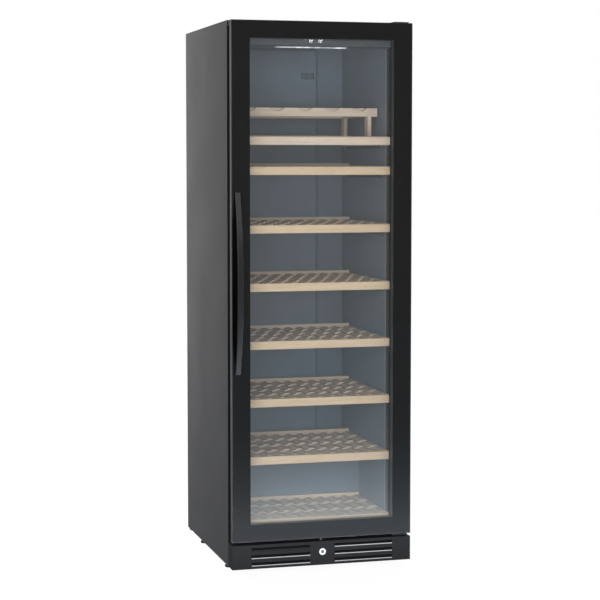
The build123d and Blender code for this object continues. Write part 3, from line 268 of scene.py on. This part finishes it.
# Lamp strip under the control housing
LED_COLOUR = (0.94, 0.98, 1.0)
LED_STRENGTH = 1.5
LED_ROUGH = 0.4
LED_COVER_SCALE = 300.0
LED_COVER_STOPS = ((0.3, (0.10, 0.10, 0.10)), (0.7, (0.14, 0.14, 0.14)))
LED_SPOTS = (38.0, 1.0, 1.0)
LED_SPOT_FROM = 0.35
LED_SPOT_TO = 0.62
LED_DIM = 0.3
LED_GLOW_HEIGHT = 0.0030
LED_UNLIT = 0.008
LED_UNLIT_FADE = 0.002

# Face of the lock, with painted shade of the keyway in the middle
LOCK_HEIGHT = 0.063
LOCK_SHADE_RADIUS = 0.0042
LOCK_RIM_RADIUS = 0.0062
LOCK_STOPS = ((0.0, (0.16, 0.16, 0.16)), (1.0, (0.8, 0.8, 0.8)))
LOCK_GRAIN = 900.0
LOCK_ROUGH = (0.12, 0.22)

# Nodes that have another finish than their slot
OWN_FINISH = {
    "display_rack": "pale_wood",
    "display_shelf_fascia": "pale_wood",
    "inner_glass": "coated_glass",
    "lock_cylinder": "lock_face",
    "shelf_runners": "runner_plastic",
    "control_housing": "housing_plastic",
}


def tinted(colour, tint):
    """A colour with each channel multiplied by that of the tint."""
    return tuple(channel * share for channel, share in zip(colour, tint))


def grey(level):
    return (level, level, level)


def opaque(colour):
    return (*colour, 1.0)


class Tree:
    """The node tree of a material or a world, with short calls that add nodes to it."""

    def __init__(self, owner):
        owner.use_nodes = True
        self.nodes = owner.node_tree.nodes
        self.links = owner.node_tree.links

    def feed(self, socket, value):
        """Links a socket to an output, or sets it to a plain value."""
        if isinstance(value, bpy.types.NodeSocket):
            self.links.new(value, socket)
        else:
            socket.default_value = value

    def node(self, kind, inputs=None, **settings):
        """A new node with its settings made and its inputs fed."""
        made = self.nodes.new(kind)
        for key, value in settings.items():
            setattr(made, key, value)
        for socket, value in (inputs or {}).items():
            self.feed(made.inputs[socket], value)
        return made

    def compute(self, operation, *operands):
        """The result of one step of arithmetic."""
        return self.node("ShaderNodeMath", dict(enumerate(operands)), operation=operation).outputs[0]

    def between(self, value, start, end, low=0.0, high=1.0):
        """A value that runs from low at start to high at end, and stays there outside."""
        inputs = {"Value": value, "From Min": start, "From Max": end, "To Min": low, "To Max": high}
        return self.node("ShaderNodeMapRange", inputs).outputs["Result"]

    def rays(self, *kinds):
        """A number that is 1 for rays of the given kinds."""
        path = self.node("ShaderNodeLightPath").outputs
        total = path[kinds[0]]
        for kind in kinds[1:]:
            total = self.compute("MAXIMUM", total, path[kind])
        return total

    def mirrored(self):
        """A number that is 1 for light that was mirrored on its way to the camera."""
        depth = self.node("ShaderNodeLightPath").outputs["Glossy Depth"]
        return self.between(depth, 0.0, 1.0)


class Finish(Tree):
    """A new material with one principled shader, and short calls that feed it."""

    def __init__(self, name, constants=None):
        self.material = bpy.data.materials.new(name)
        super().__init__(self.material)
        self.shader = self.nodes["Principled BSDF"]
        for socket, value in (constants or {}).items():
            self.shader.inputs[socket].default_value = value

    def place(self, stretch=(1.0, 1.0, 1.0)):
        """The place on the object, stretched along each axis."""
        coordinates = self.node("ShaderNodeTexCoord").outputs["Object"]
        return self.node("ShaderNodeMapping", {"Vector": coordinates, "Scale": stretch}).outputs["Vector"]

    def along(self, axis):
        return self.node("ShaderNodeSeparateXYZ", {"Vector": self.place()}).outputs[axis]

    def noise(self, scale, stretch=(1.0, 1.0, 1.0), detail=2.0, distortion=0.0):
        inputs = {"Scale": scale, "Detail": detail, "Distortion": distortion, "Vector": self.place(stretch)}
        return self.node("ShaderNodeTexNoise", inputs).outputs["Fac"]

    def ramp(self, factor, stops):
        """A colour from a row of stops, each a place on the factor and a colour."""
        made = self.node("ShaderNodeValToRGB", {"Fac": factor})
        elements = made.color_ramp.elements
        while len(elements) < len(stops):
            elements.new(0.5)
        for element, (position, colour) in zip(elements, stops):
            element.position = position
            element.color = opaque(colour)
        return made.outputs["Color"]

    def shades(self, factor, colour, stops):
        """Shades of one colour, from stops that are each a place on the factor and a share of the colour."""
        return self.ramp(factor, [(position, tinted(colour, grey(share))) for position, share in stops])

    def blend(self, factor, first, second, blend_type="MIX"):
        inputs = {"Factor": factor, "A": first, "B": second}
        return self.node("ShaderNodeMix", inputs, data_type="RGBA", blend_type=blend_type).outputs["Result"]

    def colour(self, source):
        self.links.new(source, self.shader.inputs["Base Color"])

    def glow(self, source):
        self.links.new(source, self.shader.inputs["Emission Color"])

    def roughness(self, factor, low, high):
        self.links.new(self.between(factor, 0.0, 1.0, low, high), self.shader.inputs["Roughness"])

    def bump(self, height, strength, depth):
        made = self.node("ShaderNodeBump", {"Strength": strength, "Distance": depth, "Height": height})
        self.links.new(made.outputs["Normal"], self.shader.inputs["Normal"])

    def surface(self, factor, first, second):
        """Shows the first shader where the factor is 0 and the second where it is 1."""
        mixed = self.node("ShaderNodeMixShader", {0: factor, 1: first, 2: second})
        self.links.new(mixed.outputs["Shader"], self.nodes["Material Output"].inputs["Surface"])


# Materials


def coat(finish, colour, rough, grain, bump):
    """Adds fine grain and uneven gloss, and gives back the colour with a slight cloudiness."""
    cloud = finish.noise(CLOUD_SCALE, detail=CLOUD_DETAIL)
    finish.roughness(cloud, rough - CLOUD_GLOSS, rough + CLOUD_GLOSS)
    finish.bump(finish.noise(grain, detail=FINE_DETAIL), bump, GRAIN_DEPTH)
    return finish.shades(cloud, colour, CLOUD_SHADES)


def moulded(name, specular=PLAIN_SPECULAR, **look):
    """Moulded or painted surface."""
    finish = Finish(name, {"Specular IOR Level": specular})
    finish.colour(coat(finish, **look))
    return finish.material


def casing_paint(name):
    """Charcoal paint, with black on the front edge that faces the door as painted shade of the gap behind the
    door.
    """
    finish = Finish(name, {"Specular IOR Level": CASING_SPECULAR})
    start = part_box("side_panel_left")[0][1] + CASING_SHADE_DEPTH
    # painted shade: black from the front face to a few millimetres behind it
    behind = finish.between(finish.along("Y"), start, start + CASING_SHADE_FADE)
    finish.colour(finish.blend(behind, opaque(CASING_PAINTED_SHADE), coat(finish, **CASING)))
    return finish.material


def drawn_metal(name, colour, rough, stretch):
    """Metal with fine lines along its drawn direction."""
    finish = Finish(name, {"Metallic": 1.0})
    lines = finish.noise(1.0, stretch, detail=LINE_DETAIL)
    finish.colour(finish.shades(lines, colour, LINE_SHADES))
    finish.roughness(lines, rough - LINE_SMOOTHER, rough + LINE_ROUGHER)
    finish.bump(lines, LINE_BUMP, LINE_DEPTH)
    return finish.material


def galvanised(name):
    """Zinc coating with its spangle of crystal patches."""
    finish = Finish(name, {"Metallic": 1.0})
    cells = finish.node("ShaderNodeTexVoronoi", {"Scale": ZINC_PATCHES, "Vector": finish.place()})
    patch = finish.node("ShaderNodeSeparateColor", {"Color": cells.outputs["Color"]}).outputs["Red"]
    finish.colour(finish.ramp(patch, ZINC_STOPS))
    finish.roughness(patch, *ZINC_ROUGH)
    return finish.material


def beech(name, tint):
    """Steamed beech: straight grain along the boards with short darker flecks."""
    finish = Finish(name, {"Specular IOR Level": BEECH_SPECULAR})
    grain = finish.noise(1.0, BEECH_GRAIN, BEECH_GRAIN_DETAIL, BEECH_GRAIN_WAVE)
    wood = finish.ramp(grain, [(position, tinted(colour, tint)) for position, colour in BEECH_STOPS])
    flecks = finish.ramp(finish.noise(1.0, BEECH_FLECK, FINE_DETAIL), BEECH_FLECK_STOPS)
    finish.colour(finish.blend(flecks, wood, opaque(BEECH_FLECK_TINT), "MULTIPLY"))
    finish.roughness(grain, *BEECH_ROUGH)
    finish.bump(grain, BEECH_BUMP, GRAIN_DEPTH)
    return finish.material


def pane(name, index):
    """Clear glass that lets lamp light pass to what stands behind it."""
    finish = Finish(name, {"Transmission Weight": 1.0, "IOR": index, "Roughness": 0.0})
    cloud = finish.noise(GLASS_CLOUD_SCALE, detail=FINE_DETAIL)
    finish.colour(finish.shades(cloud, GLASS_TINT, GLASS_SHADES))
    passing = finish.rays("Is Shadow Ray", "Is Diffuse Ray")
    clear = finish.node("ShaderNodeBsdfTransparent", {"Color": opaque(GLASS_TINT)})
    finish.surface(passing, finish.shader.outputs["BSDF"], clear.outputs["BSDF"])
    return finish.material


def lit_figures(name):
    """Lit segments, a little brighter in places."""
    constants = {"Roughness": DIGIT_ROUGH, "Emission Strength": DIGIT_STRENGTH}
    constants["Base Color"] = opaque(DIGIT_BASE)
    finish = Finish(name, constants)
    spots = finish.noise(1.0, DIGIT_SPOTS, FINE_DETAIL)
    finish.glow(finish.shades(spots, DIGIT_COLOUR, DIGIT_SHADES))
    return finish.material


def led_row(name):
    """A clear cover over a row of lamps: bright spots along its lower half, with an unlit end."""
    finish = Finish(name, {"Roughness": LED_ROUGH, "Emission Strength": LED_STRENGTH})
    finish.colour(finish.ramp(finish.noise(LED_COVER_SCALE), LED_COVER_STOPS))
    low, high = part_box("led_strip")
    end = high[0] - LED_UNLIT
    spots = finish.noise(1.0, LED_SPOTS, detail=0.0)
    bright = finish.between(spots, LED_SPOT_FROM, LED_SPOT_TO, LED_DIM, 1.0)
    below = finish.between(finish.along("Z"), low[2] + LED_GLOW_HEIGHT, low[2])
    before = finish.between(finish.along("X"), end, end - LED_UNLIT_FADE)
    lit = finish.compute("MULTIPLY", finish.compute("MULTIPLY", bright, below), before)
    finish.glow(finish.shades(lit, LED_COLOUR, ((0.0, 0.0), (1.0, 1.0))))
    return finish.material


def lock_face(name):
    """Bright turned metal, with painted shade of the keyway in the middle of the plug."""
    finish = Finish(name, {"Metallic": 1.0})
    flat = finish.node("ShaderNodeVectorMath", {0: finish.place(), 1: (1.0, 0.0, 1.0)}, operation="MULTIPLY")
    ends = {0: flat.outputs["Vector"], 1: (0.0, 0.0, LOCK_HEIGHT)}
    radius = finish.node("ShaderNodeVectorMath", ends, operation="DISTANCE").outputs["Value"]
    # painted shade: dark metal within the keyway radius, brightening out to the rim
    outward = finish.between(radius, LOCK_SHADE_RADIUS, LOCK_RIM_RADIUS)
    finish.colour(finish.ramp(outward, LOCK_STOPS))
    finish.roughness(finish.noise(LOCK_GRAIN), *LOCK_ROUGH)
    return finish.material


def finishes():
    """Every material of the part by its name."""
    made = {}
    for name, look in MOULDED.items():
        made[name] = moulded(name, **look)
    for name, look in DRAWN.items():
        made[name] = drawn_metal(name, **look)
    for name, tint in BEECH_TINTS.items():
        made[name] = beech(name, tint)
    for name, index in GLASS_INDEX.items():
        made[name] = pane(name, index)
    made["casing_paint"] = casing_paint("casing_paint")
    made["galvanised_steel"] = galvanised("galvanised_steel")
    made["led_diffuser"] = led_row("led_diffuser")
    made["lock_face"] = lock_face("lock_face")
    made["digit_glow"] = lit_figures("digit_glow")
    return made


def dress_nodes(made):
    """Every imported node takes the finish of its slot, except where it has one of its own."""
    for entry in frame["record"]["subparts"]:
        name = entry["node"]
        chosen = OWN_FINISH.get(name, entry["material_slot"])
        # painted reflection: the shelf racks take the greyer, bluer tint
        if "shelf" in name and name.endswith("rack"):
            chosen = "rack_wood_painted_reflection"
        slots = NODES[name].data.materials
        slots.clear()
        slots.append(made[chosen])


# Stage


def new_mesh_object(name, build):
    """A mesh object whose faces are made by build, called with an empty bmesh."""
    shape = bmesh.new()
    build(shape)
    bmesh.ops.recalc_face_normals(shape, faces=shape.faces)
    mesh = bpy.data.meshes.new(name)
    shape.to_mesh(mesh)
    shape.free()
    made = bpy.data.objects.new(name, mesh)
    bpy.context.scene.collection.objects.link(made)
    return made


def camera():
    data = bpy.data.cameras.new("camera")
    data.sensor_width = SENSOR
    data.lens = FOCAL_PIXELS / PICTURE_PIXELS * SENSOR
    data.shift_y = CAMERA_SHIFT
    made = bpy.data.objects.new("camera", data)
    bpy.context.scene.collection.objects.link(made)
    made.location = CAMERA_PLACE
    made.rotation_euler = (math.pi / 2 + CAMERA_PITCH, 0.0, -CAMERA_YAW)
    bpy.context.scene.camera = made


def white_world():
    """A world that is white where it is seen and dimmer where it lights the object."""
    world = bpy.data.worlds.new("studio")
    bpy.context.scene.world = world
    tree = Tree(world)
    seen = tree.rays("Is Camera Ray", "Is Glossy Ray", "Is Transmission Ray")
    background = tree.nodes["Background"].inputs
    tree.feed(background["Color"], opaque(grey(1.0)))
    tree.feed(background["Strength"], tree.between(seen, 0.0, 1.0, AMBIENT, 1.0))


def floor_white(name):
    """White that keeps the shadow, and that reflections see with a level of its own."""
    finish = Finish(name)
    finish.nodes.remove(finish.shader)
    seen = finish.rays("Is Camera Ray", "Is Transmission Ray")
    tone = finish.between(seen, 0.0, 1.0, FLOOR_COLOUR, FLOOR_SHADED)
    matt = finish.node("ShaderNodeBsdfDiffuse", {"Color": tone})
    away = finish.node("ShaderNodeVectorMath", {0: finish.place()}, operation="LENGTH").outputs["Value"]
    white = finish.between(away, FLOOR_WHITE_FROM, FLOOR_WHITE_TO, FLOOR_GLOW, 1.0)
    glow = finish.node("ShaderNodeEmission", {"Color": white, "Strength": seen})
    plain = finish.node("ShaderNodeAddShader", {0: matt.outputs["BSDF"], 1: glow.outputs["Emission"]})
    fall = finish.compute("POWER", FLOOR_MIRROR_FALL, away)
    level = finish.compute("MULTIPLY_ADD", fall, FLOOR_MIRROR_NEAR, FLOOR_MIRROR_FAR)
    level = finish.compute("MINIMUM", level, FLOOR_MIRROR_MOST)
    turn = (FLOOR_MIRROR_TURN_FROM, FLOOR_MIRROR_TURN_TO)
    level = finish.between(finish.along("Y"), *turn, FLOOR_MIRROR_REAR, level)
    bright = finish.node("ShaderNodeEmission", {"Color": opaque(FLOOR_MIRROR_TINT), "Strength": level})
    finish.surface(finish.mirrored(), plain.outputs["Shader"], bright.outputs["Emission"])
    return finish.material


def floor():
    def build(shape):
        signs = ((-1, -1), (1, -1), (1, 1), (-1, 1))
        shape.faces.new([shape.verts.new((x * FLOOR_HALF, y * FLOOR_HALF, 0.0)) for x, y in signs])

    made = new_mesh_object("floor", build)
    made.data.materials.append(floor_white("floor_white"))


def wall_grey(name):
    """Grey that only reflections see, darker behind the object."""
    finish = Finish(name)
    finish.nodes.remove(finish.shader)
    level = finish.between(finish.along("Y"), -WALL_TURN, WALL_TURN, WALL_FRONT, WALL_REAR)
    glow = finish.node("ShaderNodeEmission", {"Strength": level})
    through = finish.node("ShaderNodeBsdfTransparent")
    finish.surface(finish.mirrored(), through.outputs["BSDF"], glow.outputs["Emission"])
    return finish.material


def studio_wall():
    """A ring of wall round the stage."""

    def build(shape):
        rings = []
        for z in (0.0, WALL_HEIGHT):
            ring = []
            for i in range(WALL_STEPS):
                turn = 2 * math.pi * i / WALL_STEPS
                spot = (WALL_RADIUS * math.cos(turn), WALL_RADIUS * math.sin(turn), z)
                ring.append(shape.verts.new(spot))
            rings.append(ring)
        for i in range(WALL_STEPS):
            j = (i + 1) % WALL_STEPS
            shape.faces.new((rings[0][i], rings[0][j], rings[1][j], rings[1][i]))

    made = new_mesh_object("studio_wall", build)
    made.data.materials.append(wall_grey("wall_grey"))
    made.visible_camera = False
    made.visible_diffuse = False
    made.visible_shadow = False


def area_light(name, place, target, width, height, power):
    """A soft lamp that lights the object and is seen neither by the camera nor by reflections."""
    data = bpy.data.lights.new(name, "AREA")
    data.shape = "RECTANGLE"
    data.size = width
    data.size_y = height
    data.energy = power
    lamp = bpy.data.objects.new(name, data)
    bpy.context.scene.collection.objects.link(lamp)
    lamp.location = place
    aim = Vector(target) - Vector(place)
    lamp.rotation_euler = aim.to_track_quat("-Z", "Y").to_euler()
    lamp.visible_camera = False
    lamp.visible_glossy = False
    lamp.visible_transmission = False


def lights():
    for name, values in LAMPS.items():
        area_light(name, **values)


# Trim


def piece(name, body, material, build):
    """A new piece of trim that rides on a body."""
    made = new_mesh_object(name, build)
    made.data.shade_smooth()
    made.data.set_sharp_from_angle(angle=SHARP_ANGLE)
    made.data.materials.append(material)
    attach(made, body)


def rounded_block(shape, low, high, radius):
    low, high = Vector(low), Vector(high)
    place = Matrix.Translation((low + high) / 2) @ Matrix.Diagonal((*(high - low), 1.0))
    corners = bmesh.ops.create_cube(shape, size=1.0, matrix=place)["verts"]
    edges = list(dict.fromkeys(edge for corner in corners for edge in corner.link_edges))
    bmesh.ops.bevel(shape, geom=edges, offset=radius, segments=ROUND_SEGMENTS, profile=0.5, affect="EDGES")


def door_edge_trim(material):
    """Satin strips round the edge of the door, clear of the hinge, with a lip on the handle side."""
    low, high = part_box("door_frame")
    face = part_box("front_glass")[0][1]
    proud, sunk = EDGE_TRIM_PROUD, EDGE_TRIM_SUNK
    front, back = face - proud, face + EDGE_TRIM_SIDE_BACK
    rail_front, rail_back = face + EDGE_TRIM_RAIL_FRONT, face + EDGE_TRIM_RAIL_BACK
    lip = low[0] + EDGE_TRIM_LIP
    stop = high[0] - EDGE_TRIM_STOP

    def build(shape):
        for side, x in ((-1, low[0]), (1, high[0])):
            near, far = sorted((x + side * proud, x - side * sunk))
            rounded_block(shape, (near, front, low[2]), (far, back, high[2]), proud / 2)
        rounded_block(shape, (low[0] - proud, front, low[2]), (lip, face + sunk, high[2]), proud / 2)
        for under, over in ((low[2] - proud, low[2] + sunk), (high[2] - sunk, high[2] + proud)):
            rounded_block(shape, (low[0], rail_front, under), (stop, rail_back, over), proud / 2)

    piece("door_edge_trim", "door", material, build)


def door_caps(material):
    """Moulded caps that close the step of the frame at the top of both stiles."""
    low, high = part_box("door_frame")
    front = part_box("front_glass")[0][1] + CAP_FRONT

    def build(shape):
        for x, side in ((low[0], 1), (high[0], -1)):
            near, far = sorted((x, x + side * CAP_WIDTH))
            rounded_block(shape, (near, front, high[2] - CAP_HEIGHT), (far, high[1], high[2]), CAP_ROUND)

    piece("door_caps", "door", material, build)


def wall_shade_strips(dark, pale):
    """Painted shadow in dark bands down both walls of the cavity behind the door seal, each with a pale
    painted highlight at its rear edge.
    """
    low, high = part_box("shelf_runners")
    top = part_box("control_housing")[0][2]
    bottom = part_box("floor_shelf_rack")[0][2]
    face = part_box("front_glass")[0][1]

    def bands(front, back):
        def build(shape):
            for wall, side in ((low[0], 1), (high[0], -1)):
                near, far = sorted((wall, wall + side * BAND_THICKNESS))
                corners = (near, face + front, bottom), (far, face + back, top)
                rounded_block(shape, *corners, BAND_THICKNESS / 4)

        return build

    # painted shadow in gasket rubber, and the painted highlight behind it
    piece("wall_painted_shadow", "cabinet", dark, bands(BAND_FRONT, BAND_BACK))
    piece("wall_painted_highlight", "cabinet", pale, bands(BAND_BACK, BAND_BACK + BAND_HIGHLIGHT))


def half_round(shape, left, right, face, middle):
    """A bead along X that stands proud of a face that looks towards -Y."""
    ends = []
    for x in (left, right):
        ring = []
        for i in range(LIP_STEPS + 1):
            turn = math.pi * (i / LIP_STEPS - 0.5)
            spot = (x, face - LIP_PROUD * math.cos(turn), middle + LIP_HALF_HEIGHT * math.sin(turn))
            ring.append(shape.verts.new(spot))
        ends.append(ring)
    for i in range(LIP_STEPS):
        shape.faces.new((ends[0][i], ends[1][i], ends[1][i + 1], ends[0][i + 1]))
    shape.faces.new(ends[0])
    shape.faces.new(reversed(ends[1]))
    shape.faces.new((ends[0][0], ends[0][-1], ends[1][-1], ends[1][0]))


def louvre_lips(bright, dark):
    """Beads under the slots of the plinth, pale metal as painted highlight. The upper left one is plinth
    plastic, as painted shade where that lip catches no light.
    """
    low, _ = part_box("plinth_grille")
    places = [(side, row) for side in (-1, 1) for row in range(LIP_ROWS)]
    plain = (-1, LIP_ROWS - 1)

    def beads(chosen):
        def build(shape):
            for side, row in chosen:
                left, right = sorted((side * LIP_INNER, side * LIP_OUTER))
                middle = low[2] + LIP_FIRST + row * LIP_PITCH - LIP_DROP
                half_round(shape, left, right, low[1], middle)

        return build

    # painted highlight on the lit lips, and painted shade on the upper left one
    lit = [place for place in places if place != plain]
    piece("louvre_lips", "cabinet", bright, beads(lit))
    piece("louvre_lip_shaded", "cabinet", dark, beads([plain]))


def display_digits(material):
    """Slanted seven-segment figures on the front of the display, with a lit dot before them."""
    low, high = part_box("display_window")
    front = low[1] - DIGIT_PROUD
    middle = (low[2] + high[2]) / 2

    def stroke(shape, start, end):
        run = (end - start).normalized()
        side = Vector((-run.z, 0.0, run.x)) * DIGIT_STROKE / 2
        tip = run * DIGIT_STROKE / 2
        outline = (start - tip, start + side, end + side, end + tip, end - side, start - side)
        shape.faces.new([shape.verts.new(point) for point in outline])

    def build(shape):
        for x, digit in DIGIT_PLACES:
            for name in DIGITS[digit]:
                ends = []
                for across, up in SEGMENTS[name]:
                    z = up * DIGIT_HEIGHT
                    ends.append(Vector((x + across * DIGIT_WIDTH + DIGIT_SLANT * z, front, middle + z)))
                stroke(shape, *ends)
        dot = Vector((DIGIT_DOT, front, middle + DIGIT_HEIGHT / 4))
        stroke(shape, dot, dot + Vector((DIGIT_STROKE, 0.0, 0.0)))

    piece("display_digits", "cabinet", material, build)


def rear_glides(material):
    """Moulded glides under the rear corners of the base, clear of the floor."""
    low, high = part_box("base_pan")
    top = low[2]
    back = high[1] - GLIDE_INSET
    front = back - GLIDE_LENGTH

    def build(shape):
        for side, x in ((1, low[0]), (-1, high[0])):
            near, far = sorted((x + side * GLIDE_INSET, x + side * (GLIDE_INSET + GLIDE_WIDTH)))
            rounded_block(shape, (near, front, top - GLIDE_HEIGHT), (far, back, top), GLIDE_INSET / 2)

    piece("rear_glides", "cabinet", material, build)


def screw_head(shape, place):
    """A pan head with a cross recess, its flat side on the XY plane of its place."""

    def ring(share, rises):
        made = []
        for i, rise in enumerate(rises):
            turn = 2 * math.pi * i / SCREW_STEPS
            reach = SCREW_RADIUS * share
            spot = (reach * math.cos(turn), reach * math.sin(turn), SCREW_HEIGHT * rise)
            made.append(shape.verts.new(place @ Vector(spot)))
        return made

    rings = [ring(share, [rise] * SCREW_STEPS) for share, rise in SCREW_PROFILE]
    recess = [SCREW_RECESS_EDGE] * SCREW_STEPS
    for i in range(0, SCREW_STEPS, SCREW_STEPS // SCREW_RECESS_ARMS):
        recess[i] = SCREW_RECESS_ARM
    rings.append(ring(SCREW_RECESS_RADIUS, recess))
    centre = shape.verts.new(place @ Vector((0.0, 0.0, SCREW_HEIGHT * SCREW_RECESS_FLOOR)))
    for inner, outer in zip(rings[1:], rings):
        for i in range(SCREW_STEPS):
            j = (i + 1) % SCREW_STEPS
            shape.faces.new((outer[i], outer[j], inner[j], inner[i]))
    for i in range(SCREW_STEPS):
        shape.faces.new((rings[-1][i], rings[-1][(i + 1) % SCREW_STEPS], centre))


def screws(material):
    """Screws of the upper hinge, of both rear flanges, of the back panel and of the machine cover."""
    plate_low, plate_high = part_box("hinge_plate_upper")
    back_low, back_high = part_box("back_panel")
    cover_low, cover_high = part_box("machine_cover")
    _, side_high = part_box("side_panel_right")
    to_back = Matrix.Rotation(-math.pi / 2, 4, "X")
    places = []
    for share in HINGE_SCREW_SHARES:
        x = plate_low[0] + share * (plate_high[0] - plate_low[0])
        places.append(Matrix.Translation((x, plate_high[1] - HINGE_SCREW_INSET, plate_high[2])))
    edge = side_high[0] - SIDE_SCREW_INSET
    run = back_high[2] - back_low[2] - 2 * SIDE_SCREW_END
    for i in range(SIDE_SCREW_ROWS):
        z = back_low[2] + SIDE_SCREW_END + i * run / (SIDE_SCREW_ROWS - 1)
        for side in (-1, 1):
            places.append(Matrix.Translation((side * edge, side_high[1], z)) @ to_back)
    for x in BACK_SCREW_PLACES:
        places.append(Matrix.Translation((x, back_high[1], back_high[2] - BACK_SCREW_INSET)) @ to_back)
    for z in (cover_low[2] + COVER_SCREW_INSET, cover_high[2] - COVER_SCREW_INSET):
        for x in COVER_SCREW_PLACES:
            places.append(Matrix.Translation((x, cover_high[1], z)) @ to_back)

    def build(shape):
        for place in places:
            screw_head(shape, place)

    piece("screws", "cabinet", material, build)


def trim(made):
    door_edge_trim(made["edge_satin"])
    door_caps(made["black_plastic"])
    wall_shade_strips(made["gasket_rubber"], made["band_highlight"])
    louvre_lips(made["lip_highlight_metal"], made["plinth_plastic"])
    display_digits(made["digit_glow"])
    rear_glides(made["foot_plastic"])
    screws(made["screw_zinc"])


bpy.context.scene.view_settings.view_transform = "Standard"
camera()
white_world()
floor()
studio_wall()
lights()
materials = finishes()
dress_nodes(materials)
trim(materials)
